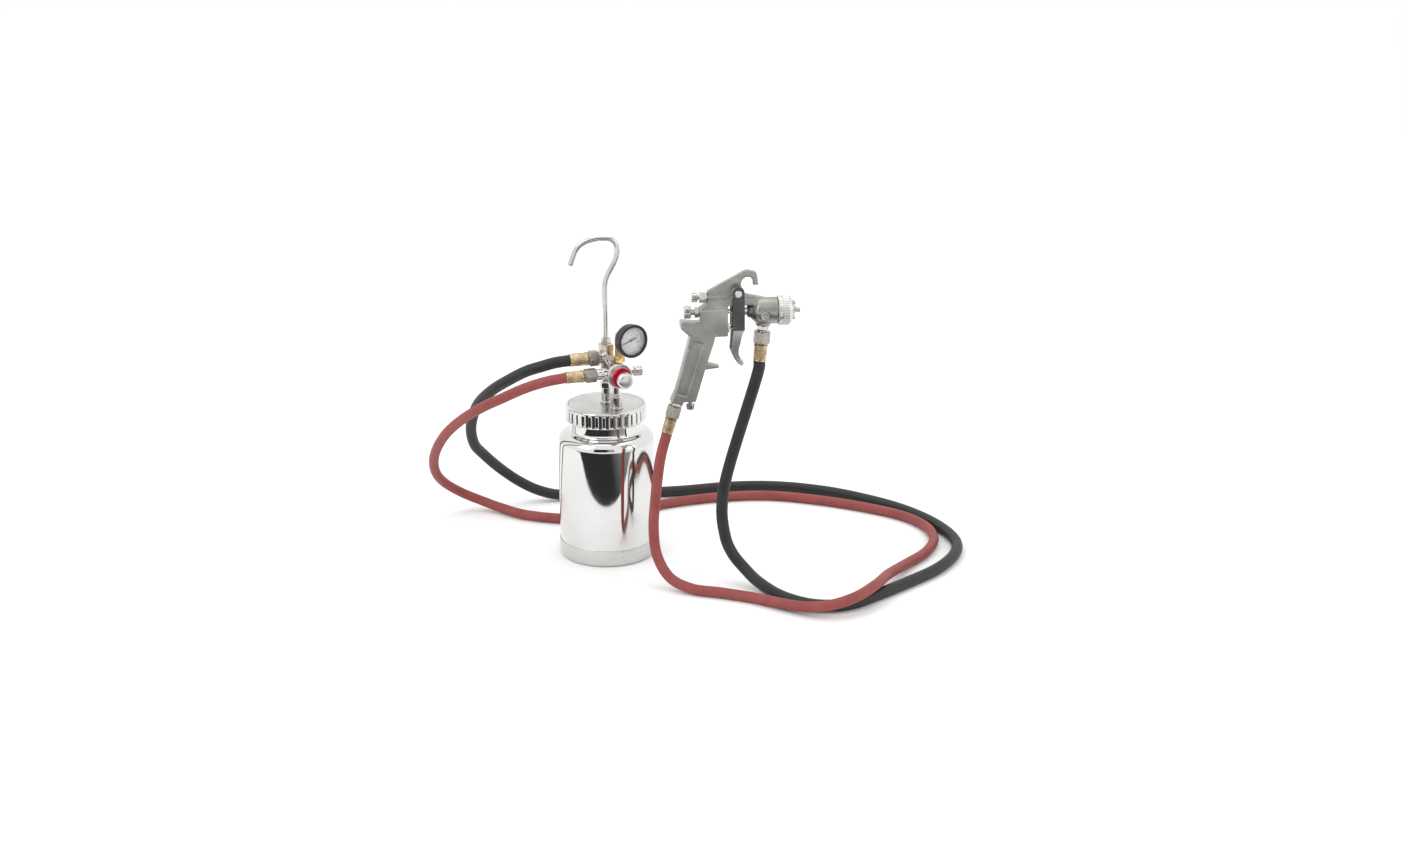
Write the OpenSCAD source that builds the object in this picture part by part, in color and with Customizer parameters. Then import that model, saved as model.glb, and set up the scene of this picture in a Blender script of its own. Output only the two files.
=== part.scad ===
// Pressure-feed paint pot with its hanging manifold, two hoses and spray gun.
// Millimetres, +Z up. The origin is the middle of the pot's underside.
// The manifold on the lid is turned about Z, and the gun stands in a frame of its own,
// in which +X runs along the nozzle and the origin is level with the fluid needle,
// straight below the trigger's pivot.

/* [Pot] */
// Outer radius of the cup
cup_r = 61.9; // [60:0.1:64]
// Wall thickness of the cup
cup_wall = 1.6; // [1:0.1:2.5]
// Height at which the cup's shoulder begins
shoulder_z = 152; // [140:1:155]
// Outer radius of the neck
neck_r = 46; // [45:0.5:46.5]
// Height of the neck's rim
rim_z = 196; // [192:0.5:196]
// Height of the sleeve around the foot of the cup
foot_h = 22; // [15:1:30]

/* [Lid] */
// Height of the lid's top face
lid_top = 201; // [200.5:0.1:202]
// Outer radius of the screw ring
ring_r = 51.5; // [51:0.1:54]
// Height of the screw ring's lower edge
ring_bottom = 180; // [176:1:184]
// Number of grip flutes on the screw ring
flute_count = 36; // [24:1:40]

/* [Manifold] */
// Turn of the whole manifold about Z, in degrees
manifold_turn = 20; // [10:1:30]
// Height of the fluid outlet's axis
fluid_z = 261; // [258:1:264]
// Height of the air line's axis
air_z = 247.5; // [246:0.5:249]
// Distance of the air line in front of the pot's axis
air_y = -28.5; // [-30:0.5:-28]
// Radius of the male thread of the air inlet
inlet_r = 6.6; // [6.4:0.1:6.8]
// Radius of the pressure adjusting knob
knob_r = 10.2; // [9.5:0.1:11]

/* [Gauge] */
// Outer radius of the pressure gauge
gauge_r = 21; // [20.5:0.5:22]
// Turn of the gauge's face about Z, in degrees
gauge_turn = 34.7; // [30:0.1:40]
// Height of the gauge's middle
gauge_z = 295; // [294:1:300]

/* [Hoses] */
// Radius of the fluid hose
fluid_hose_r = 7.25; // [7:0.05:7.25]
// Radius of the air hose
air_hose_r = 6.5; // [6:0.1:6.6]

/* [Gun] */
// Turn of the gun about Z, in degrees
gun_turn = 6; // [4:1:8]
// Half the thickness of the gun's middle block
block_half = 10.5; // [10:0.1:10.8]
// Radius of the gun's round head
head_r = 16; // [15.5:0.1:16.5]
// Radius of the retaining ring around the air cap
cap_ring_r = 18.1; // [17.5:0.1:19]
// Half the distance between the inner faces of the trigger's cheeks
cheek_y = 11.4; // [11.2:0.1:12]

/* [Hidden] */
$fn = 96;
e = 0.02;                  // small overlap where one solid is built from two
run = 0.08;                // radial running clearance
hose_sides = 12;
riser_x = 1.5;             // the fluid line's place along the manifold's X
reg_x = 5.5;               // the regulator's place along the manifold's X
gauge_stem = [10, air_y];  // where the gauge's elbow stands, in the manifold's frame
gauge_back = 19.7;         // from the elbow's axis to the back of the gauge's case
gauge_front = gauge_back + 14.5;
pivot = [-0.5, 24];        // the trigger's pivot, in the gun's XZ plane
valve_z = -20;             // the air valve's axis below the fluid needle's
fan_z = 17.8;              // the fan valve's axis above the fluid needle's
inlet_x = 30.4;            // the fluid inlet's axis ahead of the pivot
fluid_lean = 4.5;          // that axis leans back from the vertical by this angle
gun_place = [164, -100, 346.2];
air_line = [-72.5, -108];  // a point on the gun's air inlet axis, in the gun's XZ plane
air_lean = 16.3;           // that axis leans back too

// Middle line of the fluid hose, from the pot to the gun.
fluid_route = [
    [-44, -16, 261], [-62, -21.5, 259.5], [-80, -22.5, 254.5], [-98, -18, 247.5],
    [-119, -6, 234], [-146, 15, 212.5], [-169, 44, 184], [-183, 76, 146],
    [-184, 104, 111], [-174, 129, 86], [-156, 152, 58.5], [-132, 170, 33],
    [-104, 178, 16], [-70, 182, 8.5], [10, 190, 7.5], [90, 201, 7.5], [165, 219, 7.5],
    [230, 220, 7.5], [295, 201, 7.5], [348, 170, 7.5], [395, 131, 7.5], [429, 86, 7.5],
    [449, 41, 7.5], [455, 0, 7.5], [445, -40, 7.5], [418, -84, 7.5], [378, -125, 7.5],
    [336, -164, 7.5], [305, -189, 7.5], [276, -197, 7.5], [247, -191, 7.5],
    [217, -168, 8], [192, -134, 11], [175, -114, 21], [160, -104, 37], [151, -98, 58],
    [147, -94, 95], [155, -92, 145], [187.8, -96.8, 262], [191.4, -97.1, 284.4]];
// Middle line of the air hose, from the pot to the gun.
air_route = [
    [-46.9, -47.4, 247.5], [-71, -56, 245], [-97, -58, 237], [-124, -51, 223],
    [-155, -34, 204], [-186, -7, 178], [-212, 24, 147], [-231, 61, 109], [-236, 92, 76],
    [-229, 119, 50], [-209, 139, 28], [-180, 143, 13.5], [-154, 132, 8], [-115, 107, 7],
    [-50, 94, 7], [20, 117, 7], [70, 151, 7], [140, 176, 7], [215, 184, 7], [290, 164, 7],
    [360, 130, 7], [401, 99, 7], [424, 60, 7], [427, 17, 7], [411, -27, 7],
    [380, -71, 8.5], [353, -120, 15.5], [334, -169, 23.5], [306, -206, 22.8],
    [273, -217, 16.5], [239, -205, 10], [187, -173.5, 7], [145, -157, 7],
    [110, -146.5, 7.5], [83, -130, 15], [67, -114, 37], [62.5, -107, 68],
    [64.5, -106, 105], [71, -106, 160], [80, -108.8, 196.9]];

// ---- Helpers -------------------------------------------------------------

function unit(v) = v / norm(v);
function on_arc(centre, r, a0, a1, steps) =
    [for (i = [0 : steps]) let (a = a0 + (a1 - a0) * i / steps)
        centre + r * [cos(a), sin(a)]];
function tangents(p) = let (last = len(p) - 1)
    [for (i = [0 : last]) let (a = max(i, 1), b = min(i, last - 1))
        unit(unit(p[a] - p[a - 1]) + unit(p[b + 1] - p[b]))];
// v carried along when the direction turns from a to b
function carried(v, a, b) = let (c = cross(a, b)) v + cross(c, v)
    + cross(c, cross(c, v)) / (1 + a * b);
function sides_of(t, v, i = 1, done = []) = i > len(t) ? done :
    let (next = i == 1 ? v : carried(done[i - 2], t[i - 2], t[i - 1]))
        sides_of(t, v, i + 1, concat(done, [next]));

// A round tube or rod of radius r along the points p, with n sides
module sweep(p, r, n) {
    t = tangents(p);
    start = unit(cross(t[0], abs(t[0].z) > 0.9 ? [1, 0, 0] : [0, 0, 1]));
    side = sides_of(t, start);
    last = len(p) - 1;
    rings = [for (i = [0 : last]) for (k = [0 : n - 1]) let (a = 360 * k / n)
        p[i] + r * (cos(a) * side[i] + sin(a) * cross(t[i], side[i]))];
    wall = [for (i = [0 : last - 1]) for (k = [0 : n - 1]) let (m = (k + 1) % n)
        [i * n + k, (i + 1) * n + k, (i + 1) * n + m, i * n + m]];
    caps = [[for (k = [0 : n - 1]) k], [for (k = [n - 1 : -1 : 0]) last * n + k]];
    polyhedron(rings, concat(wall, caps));
}

module spring(r, length, turns, wire_r) {
    steps = turns * 12;
    sweep([for (i = [0 : steps]) [r * cos(30 * i), r * sin(30 * i), length * i / steps]],
        wire_r, 6);
}

module at_manifold() { rotate([0, 0, manifold_turn]) children(); }
// The regulator's axis: +Z of the children points at the viewer of the knob
module on_regulator() {
    at_manifold() translate([reg_x, air_y, air_z]) rotate([90, 0, 0]) children();
}
// The gauge's own frame: +Z of the children runs out through the dial
module on_gauge() {
    at_manifold() translate([gauge_stem.x, gauge_stem.y, gauge_z])
        rotate([0, 0, gauge_turn - manifold_turn]) rotate([90, 0, 0]) children();
}
module at_gun() { translate(gun_place) rotate([0, 0, gun_turn]) children(); }
// Along the gun's X, at height z: +Z of the children points to the nozzle
module along_gun(x, z = 0) { at_gun() translate([x, 0, z]) rotate([0, 90, 0]) children(); }
// A plate of the gun, drawn in XZ and centred on its middle plane
module gun_plate(points, half) {
    at_gun() rotate([90, 0, 0]) translate([0, 0, -half])
        linear_extrude(2 * half) polygon(points);
}
module tube(r, bore, h) {
    difference() {
        cylinder(h = h, r = r);
        translate([0, 0, -1]) cylinder(h = h + 2, r = bore);
    }
}
module hex(r, h) { cylinder(h = h, r = r, $fn = 6); }

// Where each swivel nut starts. +Z of the children runs from the nipple to the hose
module at_pot_fluid() {
    at_manifold() translate([riser_x - 11, 0, fluid_z]) rotate([0, -90, 0]) children();
}
module at_pot_air() {
    at_manifold() translate([-21, air_y, air_z]) rotate([0, -90, 0]) children();
}
module at_gun_fluid() {
    at_gun() translate([inlet_x, 0, -25.2]) rotate([0, 180 + fluid_lean, 0]) children();
}
module at_gun_air() {
    at_gun() translate([air_line.x, 0, air_line.y]) rotate([0, 180 + air_lean, 0])
        translate([0, 0, 8]) children();
}
fluid_thread = 6.4;  // radius of the nipples that the fluid hose's nuts turn on
air_thread = 5.6;    // the same for the air hose
fluid_nut = 13.6;    // length of the fluid hose's nuts at the pot
gun_nut = 16;        // length of the nuts at the gun
neck_bore = 4.4;     // radius of the ferrule's neck inside a nut

module swivel_nut(r, thread_r, h) {
    difference() {
        hex(r, h);
        translate([0, 0, -1]) cylinder(h = h - 2, r = thread_r + run);
        cylinder(h = h + 1, r = neck_bore + run);
    }
}
// Flange and neck inside the nut, then the crimped sleeve on the hose's end
module ferrule(r, thread_r, nut_h, length) {
    sleeve = nut_h + 0.3;
    difference() {
        union() {
            translate([0, 0, nut_h - 6.6]) cylinder(h = 3.2, r = thread_r - 0.5);
            translate([0, 0, nut_h - 3.6]) cylinder(h = 4.5, r = neck_bore);
            translate([0, 0, sleeve]) cylinder(h = 3, r = r + 0.7);
            translate([0, 0, sleeve]) cylinder(h = length - 0.3, r = r);
        }
        translate([0, 0, nut_h - 10]) cylinder(h = length + 8, r = 2.6);
    }
}

// ---- Pot -----------------------------------------------------------------

module pot_cup() {
    corner = 5;
    bend = 13;
    mouth_r = neck_r - 2;
    color("silver") rotate_extrude() polygon(concat(
        [[0, 0]],
        on_arc([cup_r - corner, corner], corner, -90, 0, 6),
        on_arc([cup_r - bend, shoulder_z], bend, 0, 80, 8),
        [[neck_r, shoulder_z + bend + 2], [neck_r, 183], [neck_r + 0.9, 184.2],
         [neck_r + 0.9, 185.4], [neck_r, 186.6], [neck_r, 188.2], [neck_r + 0.9, 189.4],
         [neck_r + 0.9, 190.6], [neck_r, 191.8], [neck_r, rim_z], [mouth_r, rim_z],
         [mouth_r, shoulder_z + bend]],
        on_arc([cup_r - bend, shoulder_z], bend - cup_wall, 75, 0, 8),
        on_arc([cup_r - corner, corner], corner - cup_wall, 0, -90, 6),
        [[0, cup_wall]]));
}

// A thin sleeve round the cup's lower corner and side, clear of the floor
module foot_band() {
    corner = [cup_r - 4.9, 5];
    color("gainsboro") rotate_extrude() polygon(concat(
        on_arc(corner, 5.6, -60, 0, 4),
        [[cup_r + 0.7, foot_h], [cup_r + 0.1, foot_h]],
        on_arc(corner, 5, 0, -60, 4)));
}

module lid() {
    color("silver") difference() {
        rotate_extrude() polygon([[0, rim_z - 2], [43.6, rim_z - 2], [43.6, rim_z + 1.5],
            [49, rim_z + 1.5], [49, rim_z + 3.2], [47.7, rim_z + 3.2], [47.7, lid_top],
            [0, lid_top]]);
        at_manifold() translate([riser_x, 0, rim_z - 5]) cylinder(h = 12, r = 4.75 + e);
        at_manifold() translate([reg_x, air_y, rim_z - 5]) cylinder(h = 12, r = 2.5);
    }
}

module lid_gasket() {
    color("dimgray") translate([0, 0, rim_z]) tube(46.8, 44.2, 1.5);
}

module screw_ring() {
    flute_r = 1.7;
    color("silver") difference() {
        rotate_extrude() polygon([[47.3, ring_bottom], [ring_r - 1, ring_bottom],
            [ring_r, ring_bottom + 1], [ring_r, lid_top - 1.2], [ring_r - 1.2, lid_top],
            [48, lid_top], [48, rim_z + 3.5], [49.3, rim_z + 3.5], [49.3, rim_z + 1],
            [47.3, rim_z + 1]]);
        for (i = [1 : flute_count]) rotate([0, 0, 360 * i / flute_count])
            translate([ring_r + 0.5, 0, ring_bottom - 1])
                cylinder(h = lid_top - ring_bottom - 3.5, r = flute_r, $fn = 24);
    }
}

module pickup_tube() {
    color("lightgray") at_manifold() translate([riser_x, 0, 0]) difference() {
        translate([0, 0, 9]) tube(4.75, 3.5, 199);
        translate([-8, -8, -0.4]) rotate([0, -20, 0]) cube([24, 16, 8]);
    }
}

module pickup_tube_nut() {
    color("darkgray") at_manifold() translate([riser_x, 0, rim_z - 9]) difference() {
        hex(9, 7);
        translate([0, 0, -1]) cylinder(h = 9, r = 4.75 + e);
    }
}

// ---- Manifold ------------------------------------------------------------

module fluid_riser() {
    color("silver") at_manifold() translate([riser_x, 0, lid_top]) difference() {
        union() {
            cylinder(h = 47, r = 7);
            cylinder(h = 3, r = 8.6);
            translate([0, 0, 21]) hex(9.2, 7);
        }
        translate([0, 0, -1]) cylinder(h = 9, r = 4.75 + e);
        cylinder(h = 48, r = 3.5);
    }
}

module outlet_block() {
    side = 16;
    foot = 248;
    color("darkgray") at_manifold() difference() {
        union() {
            translate([riser_x - side / 2, -side / 2, foot]) cube([side, side, 31]);
            translate([riser_x, 0, fluid_z]) rotate([0, -90, 0]) cylinder(h = 11, r = 7.4);
            translate([riser_x - 11, 0, fluid_z]) rotate([0, -90, 0])
                cylinder(h = fluid_nut - 7, r = fluid_thread);
        }
        translate([riser_x, 0, foot - 1]) cylinder(h = 18, r = 3.5);
        translate([riser_x, 0, fluid_z]) rotate([0, -90, 0]) cylinder(h = 30, r = 3);
        translate([riser_x, 0, 272]) cylinder(h = 8, r = 3.5 + e);
    }
}

hook_route = concat([[2, 0, 272], [2, 0, 310], [1.6, 0, 346], [2.6, 0, 357], [5.8, 0, 367]],
    [[11, 0, 377], [15.6, 0, 386], [17.6, 0, 394]],
    [for (a = [0 : 25 : 75]) [5 + 12.5 * cos(a), 0, 400.5 + 12.5 * sin(a)]],
    [[-4, 0, 412.8], [-16, 0, 410.3], [-25.9, 0, 405.9], [-32.2, 0, 399.6],
     [-36.4, 0, 390.8], [-40.6, 0, 379]]);

module hanging_hook() {
    color("gray") translate([-0.6, 0.5, 0]) sweep(hook_route, 3.5, 12);
}

module hook_lock_nut() {
    color("dimgray") at_manifold() translate([riser_x, 0, 279]) difference() {
        hex(6.3, 7);
        translate([0, 0, -1]) cylinder(h = 9, r = 3.5 + e);
    }
}

module regulator_post() {
    color("silver") at_manifold() translate([reg_x, air_y, lid_top]) difference() {
        union() {
            cylinder(h = 2.4, r = 8.2);
            cylinder(h = 18, r = 7.2);
            cylinder(h = 36, r = 5);
        }
        translate([0, 0, -1]) cylinder(h = 40, r = 2.5);
    }
}

module regulator_body() {
    arm_r = 7.4;
    color("silver") difference() {
        union() {
            on_regulator() translate([0, 0, -11.5]) cylinder(h = 19, r = 13.5);
            on_regulator() translate([0, 0, -13]) cylinder(h = 2, r = 10);
            at_manifold() translate([reg_x, air_y, air_z]) {
                rotate([0, -90, 0]) cylinder(h = 19, r = arm_r);
                rotate([0, -90, 0]) translate([0, 0, 14]) cylinder(h = 5, r = 8.5);
                rotate([0, -90, 0]) cylinder(h = 26.5, r = 6.8);
                rotate([0, -90, 0]) cylinder(h = 35.5, r = air_thread);
                rotate([0, 90, 0]) cylinder(h = 14.5, r = arm_r);
                translate([0, 0, -12]) cylinder(h = 12, r = arm_r);
            }
        }
        on_regulator() translate([0, 0, -6.5]) cylinder(h = 20, r = 10);
        at_manifold() translate([reg_x, air_y, air_z]) {
            translate([0, 0, -15]) cylinder(h = 4.5, r = 5 + e);
            rotate([0, -90, 0]) cylinder(h = 40, r = 2.6);
            translate([8, 0, 0]) rotate([0, 90, 0]) cylinder(h = 8, r = 4.5 + e);
        }
        at_manifold() translate([gauge_stem.x, gauge_stem.y, air_z + 9])
            cylinder(h = 9, r = 4.5 + e);
        on_relief() translate([0, 0, -2]) cylinder(h = 8, r = 3 + e);
    }
}

module regulator_bell() {
    color("silver") on_regulator() difference() {
        rotate_extrude() polygon([[0, 7.5], [13.5, 7.5], [13.5, 8.6], [12.2, 9], [12.6, 12],
            [14, 14.4], [16, 16], [16, 17.6], [14.4, 18], [11.4, 17], [11, 22],
            [0, 22]]);
        translate([0, 0, 7]) cylinder(h = 7.5, r = 9);
        translate([0, 0, 7]) cylinder(h = 16, r = 4 + run);
    }
}

module regulator_red_ring() {
    color("firebrick") on_regulator() translate([0, 0, 22]) tube(12.2, 4.6, 4.6);
}

module regulator_knob() {
    color("silver") on_regulator() rotate_extrude() polygon(concat(
        [[0, 8], [4, 8], [4, 27], [4.6, 27], [4.6, 30.5], [knob_r - 1.6, 33.4],
         [knob_r, 35.6], [knob_r, 38.6]],
        on_arc([knob_r - 5, 38.6], 5, 0, 75, 5), [[0, 44.2]]));
}

module regulator_spring() {
    color("gray") on_regulator() translate([0, 0, -2.4]) spring(6.4, 9, 5, 0.8);
}

module regulator_diaphragm() {
    color("black") on_regulator() translate([0, 0, -5.2]) cylinder(h = 1.8, r = 8.8);
}

module air_inlet_plug() {
    color("silver") at_manifold() translate([16, air_y, air_z]) rotate([0, 90, 0])
        difference() {
            union() {
                cylinder(h = 12.5, r = 4.5);
                translate([0, 0, 12]) cylinder(h = 11, r = inlet_r);
            }
            translate([0, 0, -1]) cylinder(h = 25, r = 2.6);
        }
}

module on_relief() {
    at_manifold() translate([-1.5, air_y, 258]) rotate([0, -28, 0]) children();
}
module relief_valve_body() {
    color("silver") on_relief() difference() {
        union() {
            translate([0, 0, -1.8]) cylinder(h = 4, r = 3);
            translate([0, 0, 2]) cylinder(h = 9, r = 3.6);
        }
        translate([0, 0, 3]) cylinder(h = 9, r = 1.6);
    }
}
module relief_valve_pull() {
    color("silver") on_relief() union() {
        translate([0, 0, 5]) cylinder(h = 8, r = 1.6 - run);
        translate([0, 0, 11.4]) cylinder(h = 7, r = 3.8);
    }
}

// ---- Gauge ---------------------------------------------------------------

module gauge_stem_elbow() {
    arm_r = 5.4;
    color("darkgoldenrod") union() {
        at_manifold() translate([gauge_stem.x, gauge_stem.y, air_z + 9]) {
            cylinder(h = gauge_z - air_z - 9, r = 4.5);
            translate([0, 0, 5]) hex(7.2, 7);
            translate([0, 0, 12]) cylinder(h = gauge_z - air_z - 21, r = arm_r);
        }
        on_gauge() cylinder(h = gauge_back - 7, r = arm_r);
        on_gauge() sphere(r = arm_r);
        on_gauge() translate([0, 0, gauge_back - 7]) hex(7.6, 7);
    }
}

module gauge_case() {
    color("black") on_gauge() translate([0, 0, gauge_back]) rotate_extrude() polygon([
        [0, 0], [gauge_r - 2.2, 0], [gauge_r - 0.7, 1.5], [gauge_r - 0.7, 9.5],
        [gauge_r - 1.6, 9.5], [gauge_r - 1.6, 2], [0, 2]]);
}

module gauge_bezel() {
    color("black") on_gauge() translate([0, 0, gauge_back]) rotate_extrude() polygon([
        [gauge_r - 1.5, 9.6], [gauge_r, 9.6], [gauge_r, 13.7], [gauge_r - 0.8, 14.5],
        [17.2, 14.5], [17.2, 13], [gauge_r - 1.5, 13]]);
}

module gauge_dial() {
    color("white") on_gauge() translate([0, 0, gauge_back + 6]) difference() {
        cylinder(h = 0.8, r = gauge_r - 1.6 - e);
        translate([0, 0, -1]) cylinder(h = 3, r = 0.9);
    }
}

module gauge_needle() {
    lean = 198;  // where the tip points at rest, anticlockwise from the dial's right
    color("black") on_gauge() translate([0, 0, gauge_back + 7.6]) rotate([0, 0, lean]) {
        linear_extrude(0.6) polygon([[-8.5, -1.3], [-8.5, 1.3], [0, 0.9], [14, 0.25],
            [14, -0.25], [0, -0.9]]);
        translate([0, 0, -0.2]) cylinder(h = 1.4, r = 2);
        translate([0, 0, -2.4]) cylinder(h = 3, r = 0.8);
    }
}

module gauge_lens() {
    color("azure", 0.35) on_gauge() translate([0, 0, gauge_back + 11.4])
        cylinder(h = 1.5, r = gauge_r - 1.8);
}

// ---- Hoses and their fittings --------------------------------------------

module pot_fluid_nut() {
    color("darkgray") at_pot_fluid() swivel_nut(10.4, fluid_thread, fluid_nut);
}
module pot_fluid_ferrule() {
    color("peru") at_pot_fluid() ferrule(8.1, fluid_thread, fluid_nut, 23.8);
}
module pot_air_nut() {
    color("darkgray") at_pot_air() swivel_nut(9.2, air_thread, gun_nut);
}
module pot_air_ferrule() {
    color("peru") at_pot_air() ferrule(7.3, air_thread, gun_nut, 23.3);
}
module gun_fluid_nut() {
    color("darkgray") at_gun_fluid() swivel_nut(11, fluid_thread, gun_nut);
}
module gun_fluid_ferrule() {
    color("peru") at_gun_fluid() ferrule(7.9, fluid_thread, gun_nut, 20.7);
}
module gun_air_nut() {
    color("darkgray") at_gun_air() swivel_nut(9.2, air_thread, gun_nut);
}
module gun_air_ferrule() {
    color("peru") at_gun_air() ferrule(7, air_thread, gun_nut, 19);
}
module fluid_hose() { color("black") sweep(fluid_route, fluid_hose_r, hose_sides); }
module air_hose() { color("firebrick") sweep(air_route, air_hose_r, hose_sides); }

// ---- Gun -----------------------------------------------------------------

module gun_solid() {
    spine = [[-46, 2], [-46, 4], [-37, 10.4], [-35, 13.2], [-6.2, 18.5], [24, 16],
        [24, 8.5], [-12, 8.5], [-12, 2]];
    fin = [[-35, 10], [-36.5, 25.4], [7.6, 49.1], [11.2, 50.3], [21, 48.2], [23, 45.7],
        [25, 32.3], [18.4, 32.3], [18.2, 38.6], [14.8, 41.9], [9.4, 42], [5.6, 38.9],
        [3.4, 31.6], [4.8, 26.8], [9, 21.8], [15, 20.2], [33, 16.3], [33, 10]];
    block = [[-46, 3.2], [-12, 3.2], [-12, -28], [-15, -28.6], [-56.4, -28.6],
        [-68.4, -17.8], [-68.4, -10.4], [-44.4, -12]];
    handle = [[-56.4, -26], [-27, -26], [-28.2, -34], [-38.4, -66], [-50.5, -108.5],
        [-65, -108.5], [-67.8, -114.5], [-76.5, -117], [-80.5, -110], [-75, -98],
        [-68.6, -76]];
    spur = [[-42, -61], [-37.2, -62], [-21.5, -66.4], [-21.5, -68.2], [-37, -70], [-43, -71]];
    gun_plate(spine, 9);
    gun_plate(fin, 4);
    gun_plate(block, block_half);
    gun_plate(handle, block_half + 0.8);
    gun_plate(spur, 6);
    along_gun(-36, fan_z - 2) cylinder(h = 16, r = 6);
    along_gun(12) rotate_extrude() polygon([[0, 0], [7, 0], [9.5, 5], [head_r - 2, 9.5],
        [head_r, 12], [head_r, 36], [14.5, 36], [14.5, 44], [0, 44]]);
    along_gun(8, 13) cylinder(h = 18, r = 4.5);
    at_gun_fluid() translate([0, 0, -23.4]) cylinder(h = 16, r = 9);
    at_gun() translate([pivot.x, 10.8, pivot.y]) rotate([90, 0, 0])
        cylinder(h = 21.6, r = 5.4);
}

module gun_body() {
    color("darkgray") difference() {
        gun_solid();
        along_gun(-47) cylinder(h = 17, r = 5);
        along_gun(-31) cylinder(h = 15, r = 4);
        along_gun(-17) cylinder(h = 10, r = 3.2);
        along_gun(10) cylinder(h = 11, r = 4);
        along_gun(20) cylinder(h = 20, r = 3.6);
        along_gun(38) cylinder(h = 10.5, r = 7);
        along_gun(48) cylinder(h = 10, r = 10);
        along_gun(-26, valve_z) cylinder(h = 20, r = 4.5);
        along_gun(-42, valve_z) cylinder(h = 20, r = 3);
        along_gun(-37, fan_z) cylinder(h = 9, r = 4);
        at_gun_fluid() translate([0, 0, -15.2]) cylinder(h = 9, r = 6.4);
        at_gun_fluid() translate([0, 0, -25.2]) cylinder(h = 19, r = 3);
        at_gun() translate([pivot.x, 12, pivot.y]) rotate([90, 0, 0]) cylinder(h = 24, r = 2.5);
        at_gun() translate([-56, 0, -112]) cylinder(h = 14, r = 2.8 + run);
        at_gun() translate([31.7, -11.5, -4]) rotate([90, 0, 0]) cylinder(h = 8, r = 6);
        at_gun_air() translate([0, 0, -18]) cylinder(h = 14, r = 5);
        at_gun_air() translate([0, 0, -5.2]) cylinder(h = 14, r = 12);
    }
}

// The trigger's side outline; the cover has the same one above its lower edge
trigger_front = [[6.2, 26], [6.6, 5], [6.9, -20.5], [4.2, -33], [1.8, -42], [1.5, -50],
    [3.6, -57], [8, -61.5]];
trigger_rear = [[5.6, -65], [0.5, -62.5], [-5, -55], [-8, -47.5], [-7.1, -38], [-6, -20.5],
    [-6.1, 3], [-6.2, 26]];
trigger_top = on_arc([0, 26], 6.2, 180, 0, 8);

module trigger() {
    plate = 2;
    web = concat([[5, -9], [6.7, -9]], [for (p = trigger_front) if (p.y < -10) p],
        [[5.6, -65], [1.6, -57.6], [-0.7, -50], [-0.6, -42], [2, -33], [5, -20.5]]);
    color("darkgray") difference() {
        union() {
            for (side = [-1, 1]) at_gun() translate([0, side * (cheek_y + plate / 2), 0])
                rotate([90, 0, 0]) translate([0, 0, -plate / 2]) linear_extrude(plate)
                    polygon(concat(trigger_front, trigger_rear, trigger_top));
            gun_plate(web, cheek_y + 0.1);
        }
        at_gun() translate([pivot.x, 20, pivot.y]) rotate([90, 0, 0])
            cylinder(h = 40, r = 2.5 + run);
    }
}

module trigger_cover() {
    inner = cheek_y + 2;
    outline = concat([[7, 26], [7.4, 5], [7.7, -20.5]], [[-6.8, -20.5], [-6.9, 3]],
        on_arc([0, 26], 6.9, 180, 0, 8));
    color("black") difference() {
        gun_plate(outline, inner + 1.8);
        gun_plate([[-9, 40], [6.95, 40], [6.95, -30], [-9, -30]], inner);
        gun_plate([[0, 40], [12, 40], [12, -8], [0, -8]], inner);
        at_gun() translate([pivot.x, 20, pivot.y]) rotate([90, 0, 0])
            cylinder(h = 40, r = 2.5 + run);
    }
}

module trigger_pivot() {
    reach = cheek_y + 3.95;
    color("silver") at_gun() translate([pivot.x, 0, pivot.y]) rotate([90, 0, 0]) union() {
        translate([0, 0, -reach]) cylinder(h = 2 * reach, r = 2.5);
        for (side = [-1, 1]) translate([0, 0, side * (reach + 0.7) - 0.8])
            cylinder(h = 1.6, r = 4.4);
    }
}

module fluid_needle() {
    color("silver") along_gun(-40) rotate_extrude() polygon([[0, 0], [1.5, 0], [1.5, 13.5],
        [3.3, 13.5], [3.3, 15], [2.8, 15], [2.8, 36.5], [1.5, 36.5], [1.5, 96],
        [0.5, 101.5], [0, 101.5]]);
}

module needle_spring() {
    color("gray") along_gun(-44.5) spring(2.55, 13.6, 8, 0.45);
}

module fluid_knob() {
    grips = 18;
    color("silver") along_gun(-64.1) difference() {
        union() {
            cylinder(h = 9, r = 7.6);
            cylinder(h = 17, r = 3.5);
        }
        for (i = [1 : grips]) rotate([0, 0, 360 * i / grips]) translate([7.9, 0, 1.2])
            cylinder(h = 9, r = 0.7, $fn = 16);
    }
}

module needle_bush() {
    color("silver") along_gun(-51.4) difference() {
        union() {
            hex(6.8, 5.4);
            cylinder(h = 20.4, r = 5 - e);
        }
        translate([0, 0, -1]) cylinder(h = 23, r = 3.5 + run);
    }
}

module fan_valve_body() {
    color("silver") along_gun(-46, fan_z) difference() {
        union() {
            hex(7, 9.2);
            cylinder(h = 17.8, r = 4 - e);
        }
        translate([0, 0, -1]) cylinder(h = 14, r = 2.2 + run);
    }
}

module fan_knob() {
    grips = 16;
    color("silver") along_gun(-55.2, fan_z) difference() {
        union() {
            cylinder(h = 8, r = 5.8);
            cylinder(h = 20, r = 2.2);
        }
        for (i = [1 : grips]) rotate([0, 0, 360 * i / grips]) translate([6.1, 0, 1.2])
            cylinder(h = 8, r = 0.6, $fn = 16);
    }
}

module air_valve_stem() {
    color("silver") along_gun(-30, valve_z) cylinder(h = 30.2, r = 2);
}

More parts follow.
